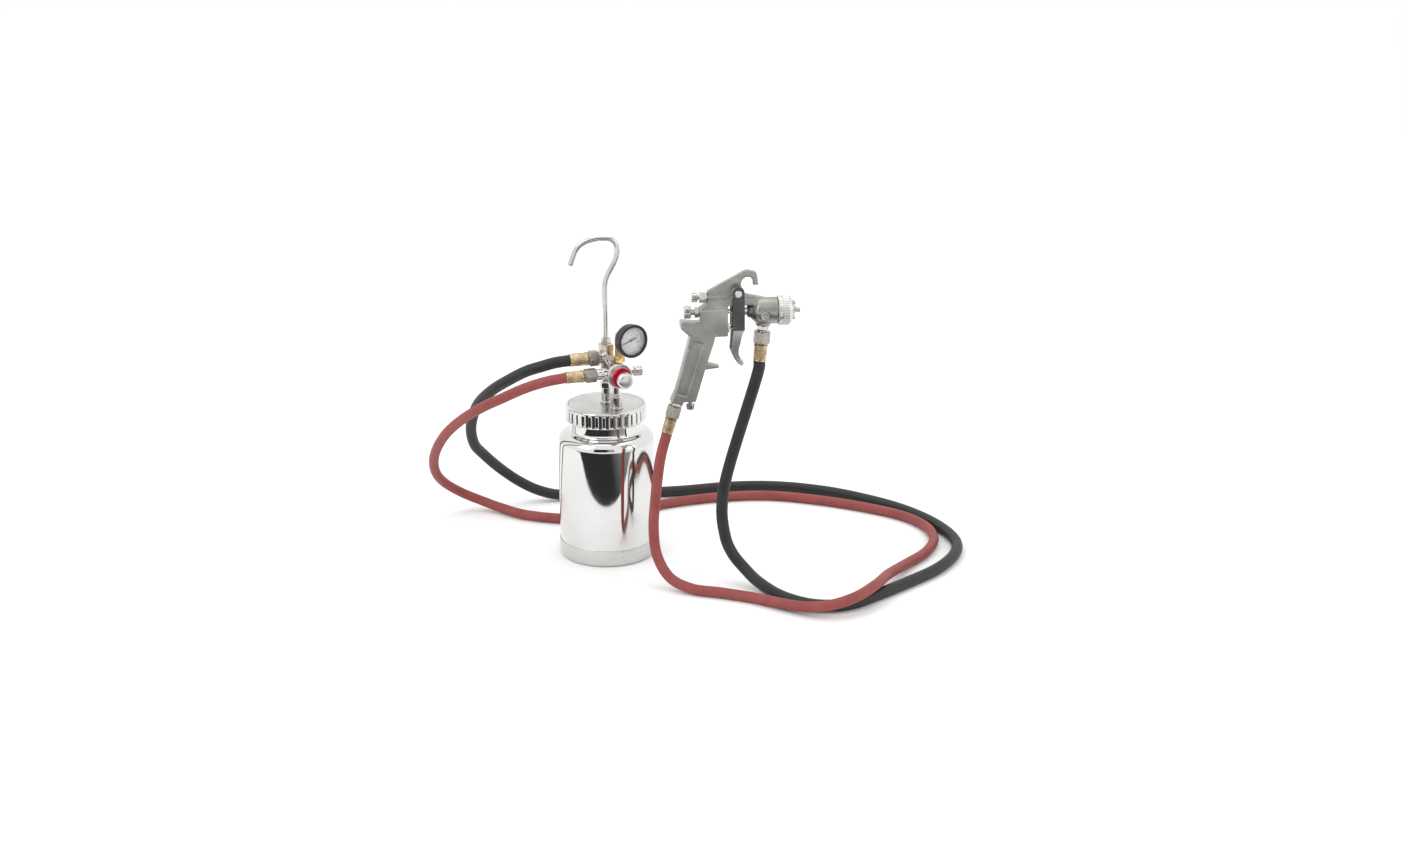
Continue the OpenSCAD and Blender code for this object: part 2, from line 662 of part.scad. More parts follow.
module air_valve_nut() {
    color("silver") along_gun(-24, valve_z) difference() {
        union() {
            cylinder(h = 12.3, r = 4.5 - e);
            translate([0, 0, 12.1]) hex(6.2, 2.4);
        }
        translate([0, 0, -1]) cylinder(h = 20, r = 2 + run);
    }
}

module fluid_nozzle() {
    color("silver") along_gun(38) difference() {
        rotate_extrude() polygon([[0, 0], [7 - e, 0], [7 - e, 10.5], [9, 10.5], [9, 13.5],
            [6.5, 15], [2.6, 29], [2.1, 30], [2.1, 36.4], [0, 36.4]]);
        translate([0, 0, -1]) cylinder(h = 24.5, r = 2);
        cylinder(h = 40, r = 0.9);
    }
}

module air_cap() {
    color("silver") union() {
        along_gun(56.4) difference() {
            rotate_extrude() polygon([[0, 0], [13.4, 0], [13.4, 5.4], [12, 5.4], [12, 9],
                [10.5, 10.6], [4.4, 13.4], [3.2, 15], [3, 19.4], [0, 19.4]]);
            translate([0, 0, -1]) cylinder(h = 6, r = 10.4);
            translate([0, 0, 4]) cylinder(h = 8.5, r = 5);
            cylinder(h = 30, r = 2.5);
        }
        for (side = [-1, 1]) gun_plate([[65, side * 6.8], [65.5, side * 11.6],
            [69, side * 11.2], [70.2, side * 9.4], [68.4, side * 8.2]], 3.6);
    }
}

module retaining_ring() {
    grips = 40;
    color("silver") along_gun(48.3) difference() {
        rotate_extrude() polygon([[14.5 + run, 0], [cap_ring_r - 0.8, 0],
            [cap_ring_r, 0.8], [cap_ring_r, 13.6], [cap_ring_r - 2.8, 16.4], [12.4, 16.4],
            [12.4, 13.9], [13.8, 13.9], [13.8, 7.8], [14.5 + run, 7.8]]);
        for (i = [1 : grips]) rotate([0, 0, 360 * i / grips])
            translate([cap_ring_r + 0.3, 0, 5.2]) cylinder(h = 7.6, r = 0.7, $fn = 16);
    }
}

module head_plug() {
    color("silver") at_gun() translate([31.7, -11.5, -4]) rotate([90, 0, 0])
        cylinder(h = 5.4, r = 6 - e);
}

module packing_nut() {
    color("silver") along_gun(7) difference() {
        union() {
            hex(5, 5);
            cylinder(h = 13, r = 4 - e);
        }
        translate([0, 0, -1]) cylinder(h = 16, r = 1.5 + run);
    }
}

module cheater_knob() {
    color("dimgray") at_gun() translate([-56, 0, -121]) union() {
        cylinder(h = 21, r = 2.8);
        cylinder(h = 7.5, r1 = 4.4, r2 = 5.6);
    }
}

module fluid_inlet_nipple() {
    color("silver") at_gun_fluid() difference() {
        union() {
            translate([0, 0, -15]) cylinder(h = 14, r = 6.4 - e);
            translate([0, 0, -7.3]) hex(7.9, 5);
            translate([0, 0, -3]) cylinder(h = gun_nut - 4, r = fluid_thread);
        }
        translate([0, 0, -16]) cylinder(h = 40, r = 3);
    }
}

module air_inlet_nipple() {
    color("silver") at_gun_air() difference() {
        union() {
            translate([0, 0, -14]) cylinder(h = 10, r = 5 - e);
            translate([0, 0, -5.2]) hex(8, 4);
            translate([0, 0, -3]) cylinder(h = gun_nut - 4, r = air_thread);
        }
        translate([0, 0, -16]) cylinder(h = 40, r = 2.6);
    }
}

pot_cup();
foot_band();
lid();
lid_gasket();
screw_ring();
pickup_tube();
pickup_tube_nut();
fluid_riser();
outlet_block();
hanging_hook();
hook_lock_nut();
regulator_post();
regulator_body();
regulator_bell();
regulator_red_ring();
regulator_knob();
regulator_spring();
regulator_diaphragm();
air_inlet_plug();
relief_valve_body();
relief_valve_pull();
gauge_stem_elbow();
gauge_case();
gauge_bezel();
gauge_dial();
gauge_needle();
gauge_lens();
pot_fluid_nut();
pot_fluid_ferrule();
pot_air_nut();
pot_air_ferrule();
gun_fluid_nut();
gun_fluid_ferrule();
gun_air_nut();
gun_air_ferrule();
fluid_hose();
air_hose();
gun_body();
trigger();
trigger_cover();
trigger_pivot();
fluid_needle();
needle_spring();
fluid_knob();
needle_bush();
fan_valve_body();
fan_knob();
air_valve_stem();
air_valve_nut();
fluid_nozzle();
air_cap();
retaining_ring();
head_plug();
packing_nut();
cheater_knob();
fluid_inlet_nipple();
air_inlet_nipple();
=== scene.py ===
"""Pressure-feed paint pot with its manifold, two hoses and spray gun.

Lengths are in millimetres up to the point where a mesh is made, and metres after that.
The places match part.scad: the manifold is turned about Z, and the gun has its own frame,
in which +X runs along the nozzle.
"""
from math import cos, floor, hypot, pi, radians, sin

import bmesh
import bpy
from mathutils import Euler, Matrix, Vector


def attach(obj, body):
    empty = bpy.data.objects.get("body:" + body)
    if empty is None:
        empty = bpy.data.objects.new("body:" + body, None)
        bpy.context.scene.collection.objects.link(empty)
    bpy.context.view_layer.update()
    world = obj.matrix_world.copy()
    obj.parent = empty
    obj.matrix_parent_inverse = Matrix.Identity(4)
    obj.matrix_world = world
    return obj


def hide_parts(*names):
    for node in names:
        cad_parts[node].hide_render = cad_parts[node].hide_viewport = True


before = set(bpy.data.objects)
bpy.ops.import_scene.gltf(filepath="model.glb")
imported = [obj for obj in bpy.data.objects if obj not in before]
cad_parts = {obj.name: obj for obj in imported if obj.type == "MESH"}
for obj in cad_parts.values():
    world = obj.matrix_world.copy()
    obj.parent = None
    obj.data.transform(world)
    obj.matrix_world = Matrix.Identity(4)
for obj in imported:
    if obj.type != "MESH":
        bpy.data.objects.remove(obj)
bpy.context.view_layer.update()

MM = 0.001


# ---- Places ---------------------------------------------------------------

def move(x, y, z):
    return Matrix.Translation((x, y, z))


def turn(degrees, axis):
    return Matrix.Rotation(radians(degrees), 4, axis)


SIDES = 144
HEX_FLAT = 0.866
PITCH = 1.34
AIR_Y = -28.5
AIR_Z = 247.5
FLUID_Z = 261
GAUGE_Z = 295
GAUGE_BACK = 19.7
RISER_X = 1.5
REG_X = 5.5
FAN_Z = 17.8
VALVE_Z = -20
INLET_X = 30.4
PIVOT = (-0.5, 24)
# Where each turned part starts along the gun
NEEDLE_BUSH_X = -51.4
FLUID_KNOB_X = -64.1
AIR_NUT_X = -24
AIR_STEM_X = -30
PACKING_X = 7
NEEDLE_X = -40
NOZZLE_X = 38
AIR_CAP_X = 56.4
CAP_RING_X = 48.3
FAN_VALVE_X = -46
FAN_KNOB_X = -55.2

MANIFOLD = turn(20, "Z")
REGULATOR = MANIFOLD @ move(REG_X, AIR_Y, AIR_Z) @ turn(90, "X")
GAUGE = MANIFOLD @ move(10, AIR_Y, GAUGE_Z) @ turn(14.7, "Z") @ turn(90, "X")
RELIEF = MANIFOLD @ move(-1.5, AIR_Y, 258) @ turn(-28, "Y")
POT_FLUID = MANIFOLD @ move(RISER_X - 11, 0, FLUID_Z) @ turn(-90, "Y")
POT_AIR = MANIFOLD @ move(-21, AIR_Y, AIR_Z) @ turn(-90, "Y")
GUN = move(164, -100, 346.2) @ turn(6, "Z")
GUN_FLUID = GUN @ move(INLET_X, 0, -25.2) @ turn(184.5, "Y")
GUN_AIR = GUN @ move(-72.5, 0, -108) @ turn(196.3, "Y") @ move(0, 0, 8)


def along_gun(x, z=0):
    return GUN @ move(x, 0, z) @ turn(90, "Y")


# ---- Camera ---------------------------------------------------------------

def put(name, data):
    """A new object in the scene."""
    made = bpy.data.objects.new(name, data)
    bpy.context.scene.collection.objects.link(made)
    return made


def make_camera():
    data = bpy.data.cameras.new("camera")
    data.sensor_width = 36
    data.lens = 44.8
    data.clip_start = 0.05
    data.clip_end = 60
    camera = put("camera", data)
    camera.location = (0.121, -2.118, 0.861)
    camera.rotation_euler = Euler((radians(71.87), 0, 0))
    bpy.context.scene.camera = camera


make_camera()


# ---- Materials ------------------------------------------------------------

class Nodes:
    """A material's node tree, with short calls for the nodes that it needs."""

    def __init__(self, name):
        self.material = bpy.data.materials.new(name)
        self.material.use_nodes = True
        self.tree = self.material.node_tree
        self.shader = self.tree.nodes["Principled BSDF"]

    def add(self, kind, **values):
        node = self.tree.nodes.new(kind)
        for key, value in values.items():
            setattr(node, key, value)
        return node

    def link(self, out, into):
        self.tree.links.new(out, into)

    def where(self, source):
        """object: the piece's own coordinates. turned: where it lies on a turned piece."""
        if source == "object":
            return self.add("ShaderNodeTexCoord").outputs["Object"]
        return self.add("ShaderNodeAttribute", attribute_name=source).outputs["Vector"]

    def noise(self, where, scale, detail=3.0, stretch=(1, 1, 1), rough=0.5):
        mapping = self.add("ShaderNodeMapping")
        mapping.inputs["Scale"].default_value = stretch
        self.link(where, mapping.inputs["Vector"])
        node = self.add("ShaderNodeTexNoise")
        node.inputs["Scale"].default_value = scale
        node.inputs["Detail"].default_value = detail
        node.inputs["Roughness"].default_value = rough
        self.link(mapping.outputs["Vector"], node.inputs["Vector"])
        return node.outputs["Fac"]

    def spread(self, value, low, high, a=0.0, b=1.0):
        node = self.add("ShaderNodeMapRange")
        node.inputs["From Min"].default_value = low
        node.inputs["From Max"].default_value = high
        node.inputs["To Min"].default_value = a
        node.inputs["To Max"].default_value = b
        self.link(value, node.inputs["Value"])
        return node.outputs["Result"]

    def drive(self, socket, value):
        self.link(value, self.shader.inputs[socket])

    def maths(self, operation, a, b):
        node = self.add("ShaderNodeMath", operation=operation)
        for value, socket in ((a, node.inputs[0]), (b, node.inputs[1])):
            if isinstance(value, (int, float)):
                socket.default_value = value
            else:
                self.link(value, socket)
        return node.outputs["Value"]

    def mix(self, factor, first, second):
        node = self.add("ShaderNodeMix", data_type="RGBA")
        self.link(factor, node.inputs["Factor"])
        for value, socket in ((first, node.inputs["A"]), (second, node.inputs["B"])):
            if isinstance(value, tuple):
                socket.default_value = (*value, 1)
            else:
                self.link(value, socket)
        return node.outputs["Result"]

    def bump(self, height, strength, distance, under=None):
        node = self.add("ShaderNodeBump")
        node.inputs["Strength"].default_value = strength
        node.inputs["Distance"].default_value = distance
        self.link(height, node.inputs["Height"])
        if under is not None:
            self.link(under, node.inputs["Normal"])
        return node.outputs["Normal"]

    def wear(self):
        """1 on the outer edges of a densely meshed piece, 0 elsewhere."""
        point = self.add("ShaderNodeNewGeometry").outputs["Pointiness"]
        return self.spread(point, 0.52, 0.62)


def set_shader(nodes, **values):
    for name, value in values.items():
        nodes.shader.inputs[name.replace("_", " ")].default_value = value


def polished(name, light, dark, smooth, dull, grooves, patch=24.0, where="turned"):
    """Turned and polished metal: fine grooves round the axis, and smudges on top."""
    n = Nodes(name)
    set_shader(n, Metallic=1.0)
    smudge = n.noise(n.where("object"), patch, 4.0)
    fine = n.noise(n.where("object"), patch * 14, 2.0)
    mixed = n.maths("ADD", n.maths("MULTIPLY", smudge, 0.7), n.maths("MULTIPLY", fine, 0.3))
    colour = n.mix(n.spread(mixed, 0.36, 0.64), light, dark)
    n.drive("Base Color", colour)
    rough = n.spread(mixed, 0.34, 0.66, smooth, dull)
    n.drive("Roughness", rough)
    stretch = (1, 1, 0.02) if where == "turned" else (1, 1, 1)
    ring = n.noise(n.where(where), 2600.0, 2.0, stretch)
    n.drive("Normal", n.bump(ring, grooves, 0.00004))
    return n.material


def cast(name, light, dark, rough=0.36):
    """A blasted and plated casting: fine grain, brighter where hands and tools have rubbed."""
    n = Nodes(name)
    set_shader(n, Metallic=1.0)
    place = n.where("object")
    cloud = n.noise(place, 45.0, 4.0)
    grain = n.noise(place, 1500.0, 3.0, rough=0.7)
    colour = n.mix(n.spread(cloud, 0.35, 0.65), light, dark)
    colour = n.mix(n.maths("MULTIPLY", n.spread(grain, 0.5, 0.8), 0.35), colour, dark)
    edge = n.wear()
    bright = tuple(min(1.0, c * 1.25) for c in light)
    colour = n.mix(n.maths("MULTIPLY", edge, 0.8), colour, bright)
    n.drive("Base Color", colour)
    satin = n.spread(cloud, 0.3, 0.7, rough - 0.06, rough + 0.08)
    n.drive("Roughness", n.maths("SUBTRACT", satin, n.maths("MULTIPLY", edge, 0.18)))
    n.drive("Normal", n.bump(grain, 0.35, 0.00008))
    return n.material


def brass(name, light, dark, rough=0.24):
    """Bare brass, browner where it has tarnished and paler elsewhere, in random patches, with
    darker specks.
    """
    n = Nodes(name)
    set_shader(n, Metallic=1.0)
    place = n.where("object")
    stain = n.noise(place, 110.0, 5.0, rough=0.6)
    speck = n.noise(place, 900.0, 2.0)
    colour = n.mix(n.spread(stain, 0.38, 0.62), light, dark)
    colour = n.mix(n.maths("MULTIPLY", n.spread(speck, 0.55, 0.7), 0.5), colour, dark)
    n.drive("Base Color", colour)
    n.drive("Roughness", n.spread(stain, 0.35, 0.65, rough - 0.06, rough + 0.14))
    ring = n.noise(n.where("turned"), 1800.0, 2.0, (1, 1, 0.05))
    n.drive("Normal", n.bump(ring, 0.12, 0.00006))
    return n.material


def hose_rubber(name, light, dark, rough):
    """Wrapped and cured rubber: the cloth's faint weave, scuffs and dust."""
    n = Nodes(name)
    set_shader(n, Specular_IOR_Level=0.35)
    run = n.where("turned")
    split = n.add("ShaderNodeSeparateXYZ")
    n.link(run, split.inputs["Vector"])
    arc, along = split.outputs["X"], split.outputs["Y"]
    weave = None
    for sign in ("ADD", "SUBTRACT"):
        slant = n.maths(sign, n.maths("MULTIPLY", along, 4200.0), n.maths("MULTIPLY", arc, 4200.0))
        thread = n.maths("SINE", slant, 0.0)
        weave = thread if weave is None else n.maths("MULTIPLY", weave, thread)
    place = n.where("object")
    scuff = n.noise(place, 38.0, 5.0, rough=0.62)
    dust = n.noise(place, 420.0, 3.0, rough=0.7)
    colour = n.mix(n.spread(scuff, 0.36, 0.66), dark, light)
    pale = tuple(min(1.0, c * 1.7 + 0.02) for c in light)
    colour = n.mix(n.maths("MULTIPLY", n.spread(dust, 0.58, 0.75), 0.35), colour, pale)
    n.drive("Base Color", colour)
    n.drive("Roughness", n.spread(scuff, 0.3, 0.7, rough - 0.08, rough + 0.1))
    under = n.bump(dust, 0.2, 0.0002)
    n.drive("Normal", n.bump(weave, 0.12, 0.00012, under))
    return n.material


def moulded(name, light, dark, rough, grain_scale=900.0, grain=0.15):
    """Moulded plastic, hard rubber or paint with a fine grain."""
    n = Nodes(name)
    place = n.where("object")
    cloud = n.noise(place, 60.0, 4.0)
    fine = n.noise(place, grain_scale, 3.0)
    n.drive("Base Color", n.mix(n.spread(cloud, 0.35, 0.65), light, dark))
    n.drive("Roughness", n.spread(cloud, 0.3, 0.7, rough - 0.05, rough + 0.08))
    n.drive("Normal", n.bump(fine, grain, 0.0001))
    return n.material


def window_glass(name):
    n = Nodes(name)
    set_shader(n, Base_Color=(0.95, 0.97, 1.0, 1), IOR=1.5, Coat_Weight=0.4,
               Coat_Roughness=0.02)
    haze = n.noise(n.where("object"), 160.0, 4.0)
    n.drive("Alpha", n.spread(haze, 0.35, 0.7, 0.09, 0.16))
    n.drive("Roughness", n.spread(haze, 0.3, 0.7, 0.02, 0.07))
    return n.material


POT_STEEL = polished("pot_steel", (0.74, 0.74, 0.73), (0.68, 0.68, 0.67), 0.03, 0.09, 0.04, 18.0)
RING_STEEL = polished("ring_steel", (0.74, 0.74, 0.72), (0.62, 0.62, 0.60), 0.06, 0.16, 0.06)
LID_STEEL = polished("lid_steel", (0.60, 0.60, 0.59), (0.50, 0.50, 0.49), 0.20, 0.30, 0.16)
SLEEVE = polished("foot_sleeve", (0.64, 0.64, 0.62), (0.58, 0.58, 0.56), 0.18, 0.30, 0.20)
TUBE_STEEL = polished("tube_steel", (0.70, 0.70, 0.69), (0.56, 0.56, 0.54), 0.16, 0.34, 0.15)
PLATE = polished("manifold_plate", (0.72, 0.71, 0.69), (0.56, 0.54, 0.51), 0.05, 0.18, 0.08)
BLOCK_PLATE = polished("block_plate", (0.62, 0.57, 0.52), (0.46, 0.42, 0.38), 0.16, 0.32, 0.10)
HOOK_CHROME = polished("hook_chrome", (0.66, 0.66, 0.65), (0.52, 0.51, 0.50), 0.04, 0.14, 0.05)
KNOB_METAL = polished("knob_metal", (0.76, 0.76, 0.74), (0.68, 0.68, 0.66), 0.26, 0.38, 0.15)
GUN_CHROME = polished("gun_chrome", (0.64, 0.63, 0.60), (0.46, 0.45, 0.43), 0.07, 0.2, 0.1)
BAND_METAL = polished("band_metal", (0.74, 0.74, 0.70), (0.62, 0.62, 0.58), 0.26, 0.4, 0.2)
STAINLESS = polished("stainless", (0.78, 0.78, 0.76), (0.64, 0.64, 0.62), 0.10, 0.24, 0.12)
NUT_METAL = polished("nut_metal", (0.40, 0.365, 0.325), (0.28, 0.25, 0.22), 0.20, 0.36, 0.10)
SPRING_WIRE = polished("spring_wire", (0.60, 0.60, 0.60), (0.42, 0.42, 0.42), 0.2, 0.4, 0.1,
                       where="object")
RED_ANODISED = polished("red_ring", (0.62, 0.015, 0.045), (0.50, 0.010, 0.035), 0.22, 0.34, 0.12)
FERRULE_BRASS = brass("ferrule_brass", (0.62, 0.50, 0.33), (0.40, 0.28, 0.16))
GAUGE_BRASS = brass("gauge_brass", (0.78, 0.56, 0.26), (0.58, 0.38, 0.16))
CASTING = cast("gun_satin", (0.40, 0.40, 0.375), (0.31, 0.31, 0.29))
TRIGGER_METAL = cast("trigger_metal", (0.50, 0.50, 0.475), (0.38, 0.38, 0.36), 0.24)
FLUID_RUBBER = hose_rubber("fluid_rubber", (0.026, 0.029, 0.027), (0.016, 0.018, 0.017), 0.5)
AIR_RUBBER = hose_rubber("air_rubber", (0.290, 0.066, 0.058), (0.225, 0.047, 0.042), 0.52)
TRIGGER_GRIP = moulded("trigger_grip", (0.050, 0.050, 0.054), (0.034, 0.034, 0.037), 0.42)
GASKET = moulded("gasket", (0.018, 0.018, 0.018), (0.010, 0.010, 0.010), 0.65)
GAUGE_BLACK = moulded("gauge_black", (0.020, 0.020, 0.021), (0.012, 0.012, 0.013), 0.26,
                      600.0, 0.08)
DIAL_WHITE = moulded("gauge_face", (0.80, 0.80, 0.78), (0.72, 0.72, 0.70), 0.5, 1400.0, 0.05)
INK = moulded("gauge_ink", (0.015, 0.015, 0.016), (0.03, 0.03, 0.03), 0.5)
WINDOW = window_glass("gauge_window")


# ---- Mesh helpers ---------------------------------------------------------

def finish_mesh(name, bm, material, body, nodes=(), sharp=35.0):
    """The bmesh as a piece: smooth but for its sharp edges, riding on body."""
    mesh = bpy.data.meshes.new(name)
    bmesh.ops.recalc_face_normals(bm, faces=bm.faces)
    bm.to_mesh(mesh)
    bm.free()
    mesh.polygons.foreach_set("use_smooth", [True] * len(mesh.polygons))
    mesh.set_sharp_from_angle(angle=radians(sharp))
    mesh.materials.append(material)
    piece = put(name, mesh)
    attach(piece, body)
    if nodes:
        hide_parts(*nodes)
    return piece


def filleted(points, radius, steps=4):
    """The same outline with each inner corner rounded. A corner may state its own radius."""
    out = [points[0][:2]]
    for before, here, after in zip(points, points[1:], points[2:]):
        size = here[2] if len(here) > 2 else radius
        a, p, b = (Vector(q[:2]) for q in (before, here, after))
        back, ahead = a - p, b - p
        reach = min(size, back.length * 0.45, ahead.length * 0.45)
        if reach < 0.02 or back.angle(ahead, pi) > radians(172):
            out.append(tuple(p))
            continue
        start, end = p + back.normalized() * reach, p + ahead.normalized() * reach
        for i in range(steps + 1):
            t = i / steps
            out.append(tuple(start * (1 - t) ** 2 + p * 2 * t * (1 - t) + end * t ** 2))
    out.append(points[-1][:2])
    return out


def divided(points, step):
    """The same outline with no stretch longer than step."""
    out = [points[0]]
    for a, b in zip(points, points[1:]):
        count = max(1, int(hypot(b[0] - a[0], b[1] - a[1]) / step))
        out += [(a[0] + (b[0] - a[0]) * i / count, a[1] + (b[1] - a[1]) * i / count)
                for i in range(1, count + 1)]
    return out


def add_turned(bm, layer, profile, place, sides=96, shape=None):
    """Adds a closed solid of revolution about place's +Z. profile is (radius, height) from
    one end of the axis to the other, or a loop. shape(r, z, angle) may change the radius."""
    loop = profile[0][0] > 0 or profile[-1][0] > 0
    rings = []
    for r, z in profile:
        if r < 1e-6:
            vertex = bm.verts.new(place @ Vector((0, 0, z)) * MM)
            vertex[layer] = Vector((0, z * MM, 0))
            rings.append([vertex])
            continue
        ring = []
        for k in range(sides):
            angle = 2 * pi * k / sides
            rr = shape(r, z, angle) if shape else r
            vertex = bm.verts.new(place @ Vector((rr * cos(angle), rr * sin(angle), z)) * MM)
            vertex[layer] = Vector((r * MM, z * MM, angle * r * MM))
            ring.append(vertex)
        rings.append(ring)
    pairs = list(zip(rings, rings[1:]))
    if loop:
        pairs.append((rings[-1], rings[0]))
    for low, high in pairs:
        if len(low) == 1 and len(high) == 1:
            continue
        for k in range(sides):
            m = (k + 1) % sides
            if len(low) == 1:
                bm.faces.new((low[0], high[k], high[m]))
            elif len(high) == 1:
                bm.faces.new((low[k], high[0], low[m]))
            else:
                bm.faces.new((low[k], high[k], high[m], low[m]))


def new_mesh():
    """An empty bmesh, and its layer for the coordinates along and round a piece."""
    bm = bmesh.new()
    return bm, bm.verts.layers.float_vector.new("turned")


def turned(name, parts, material, body, nodes=(), sharp=35.0):
    """One piece made of turned solids. Each part is (profile, place, sides, shape)."""
    bm, layer = new_mesh()
    for profile, place, sides, shape in parts:
        add_turned(bm, layer, profile, place, sides, shape)
    return finish_mesh(name, bm, material, body, nodes, sharp)


def lathe(name, node, place, material, outline, fillet, step, shape=None, sides=SIDES,
          body="head"):
    """A piece turned from one outline with rounded corners: a solid one from the axis and
    back to it, or a pierced one all the way round."""
    if outline[0][0] > 0:
        profile = filleted([*outline, outline[0]], fillet)[:-1]
    else:
        profile = filleted(outline, fillet)
    turned(name, [(divided(profile, step), place, sides, shape)], material, body, [node])


def hexagon(across, low=-1e9, high=1e9):
    """Cuts the stretch from low to high down to a hexagon with that distance to its flats."""
    def shape(r, z, angle):
        if not low <= z <= high:
            return r
        return min(r, across / cos((angle + pi / 6) % (pi / 3) - pi / 6))
    return shape


def grooved(count, depth, low, high, sharpness=1.0):
    """Straight grooves along the axis, fading in and out at low and high."""
    def shape(r, z, angle):
        if not low <= z <= high:
            return r
        fade = min(1.0, (z - low) / 0.6, (high - z) / 0.6)
        wave = max(0.0, cos(count * angle)) ** sharpness
        return r - depth * wave * fade
    return shape


def threaded(pitch, depth, low, high):
    """A screw thread whose ridges climb round the axis."""
    def shape(r, z, angle):
        if not low <= z <= high:
            return r
        phase = (z / pitch - angle / (2 * pi)) % 1.0
        fade = min(1.0, (z - low) / pitch, (high - z) / pitch)
        return r - depth * abs(2 * phase - 1) * fade
    return shape


def both(first, second):
    return lambda r, z, angle: min(first(r, z, angle), second(r, z, angle))


def smooth_path(points, steps):
    """A smooth curve through the points."""
    p = [Vector(q) for q in points]
    p = [2 * p[0] - p[1]] + p + [2 * p[-1] - p[-2]]
    out = []
    for a, b, c, d in zip(p, p[1:], p[2:], p[3:]):
        for i in range(steps):
            t = i / steps
            out.append(0.5 * (2 * b + (c - a) * t + (2 * a - 5 * b + 4 * c - d) * t ** 2
                              + (3 * b - a - 3 * c + d) * t ** 3))
    return out + [p[-2]]


def add_swept(bm, layer, path, radius, sides, ends=0.0):
    """Adds a round rod along the path. ends rounds its two end faces by that radius."""
    tangents = [(path[min(i + 1, len(path) - 1)] - path[max(i - 1, 0)]).normalized()
                for i in range(len(path))]
    side = tangents[0].orthogonal().normalized()
    rings, run = [], 0.0
    for i, (point, tangent) in enumerate(zip(path, tangents)):
        if i:
            side = tangents[i - 1].rotation_difference(tangent) @ side
            run += (point - path[i - 1]).length
        other = tangent.cross(side)
        last = i in (0, len(path) - 1)
        r = radius - ends if last else radius
        ring = []
        for k in range(sides):
            angle = 2 * pi * k / sides
            at = point + (side * cos(angle) + other * sin(angle)) * r
            vertex = bm.verts.new(at * MM)
            vertex[layer] = Vector((angle * radius * MM, run * MM, 0))
            ring.append(vertex)
        rings.append(ring)
    for low, high in zip(rings, rings[1:]):
        for k in range(sides):
            m = (k + 1) % sides
            bm.faces.new((low[k], high[k], high[m], low[m]))
    bm.faces.new(rings[0])
    bm.faces.new(list(reversed(rings[-1])))


def ease(x):
    x = max(0.0, min(1.0, x))
    return x * x * (3 - 2 * x)


# ---- Hoses ----------------------------------------------------------------

FLUID_ROUTE = [
    (-44, -16, 261), (-62, -21.5, 259.5), (-80, -22.5, 254.5), (-98, -18, 247.5),
    (-119, -6, 234), (-146, 15, 212.5), (-169, 44, 184), (-183, 76, 146),
    (-184, 104, 111), (-174, 129, 86), (-156, 152, 58.5), (-132, 170, 33),
    (-104, 178, 16), (-70, 182, 8.5), (10, 190, 7.5), (90, 201, 7.5), (165, 219, 7.5),
    (230, 220, 7.5), (295, 201, 7.5), (348, 170, 7.5), (395, 131, 7.5), (429, 86, 7.5),
    (449, 41, 7.5), (455, 0, 7.5), (445, -40, 7.5), (418, -84, 7.5), (378, -125, 7.5),
    (336, -164, 7.5), (305, -189, 7.5), (276, -197, 7.5), (247, -191, 7.5),
    (217, -168, 8), (192, -134, 11), (175, -114, 21), (160, -104, 37), (151, -98, 58),
    (147, -94, 95), (155, -92, 145), (187.8, -96.8, 262), (191.4, -97.1, 284.4)]
AIR_ROUTE = [
    (-46.9, -47.4, 247.5), (-71, -56, 245), (-97, -58, 237), (-124, -51, 223),
    (-155, -34, 204), (-186, -7, 178), (-212, 24, 147), (-231, 61, 109), (-236, 92, 76),
    (-229, 119, 50), (-209, 139, 28), (-180, 143, 13.5), (-154, 132, 8), (-115, 107, 7),
    (-50, 94, 7), (20, 117, 7), (70, 151, 7), (140, 176, 7), (215, 184, 7), (290, 164, 7),
    (360, 130, 7), (401, 99, 7), (424, 60, 7), (427, 17, 7), (411, -27, 7),
    (380, -71, 8.5), (353, -120, 15.5), (334, -169, 23.5), (306, -206, 22.8),
    (273, -217, 16.5), (239, -205, 10), (187, -173.5, 7), (145, -157, 7),
    (110, -146.5, 7.5), (83, -130, 15), (67, -114, 37), (62.5, -107, 68),
    (64.5, -106, 105), (71, -106, 160), (80, -108.8, 196.9)]
FLUID_R = 7.25
AIR_R = 6.5


def hose(name, route, radius, material, node):
    path = smooth_path(route, 8)
    bm, layer = new_mesh()
    add_swept(bm, layer, path, radius, 28)
    piece = finish_mesh(name, bm, material, "head", [node], 60)
    return piece, path


fluid_hose, fluid_path = hose("fluid_hose_tube", FLUID_ROUTE, FLUID_R, FLUID_RUBBER,
                              "fluid_hose")
air_hose, air_path = hose("air_hose_tube", AIR_ROUTE, AIR_R, AIR_RUBBER,
                          "air_hose")


# ---- Hose fittings --------------------------------------------------------

FLUID_THREAD = 6.4
AIR_THREAD = 5.6
RUN = 0.08


def swivel_nut(name, place, corner, thread, height, body):
    """A hexagon nut with chamfered corners, a collar behind it and a bore for its nipple."""
    flat = corner * HEX_FLAT
    lathe(name + "_body", name, place, NUT_METAL, [
        (thread + RUN, 0), (flat, 0), (corner, corner * 0.1), (corner, height - 2.6),
        (flat - 0.2, height - 1.4), (flat - 0.9, height - 1.2), (flat - 0.9, height),
        (4.5, height), (4.5, height - 3), (thread + RUN, height - 3)], 0.35, 1.2, hexagon(flat),
        body=body)


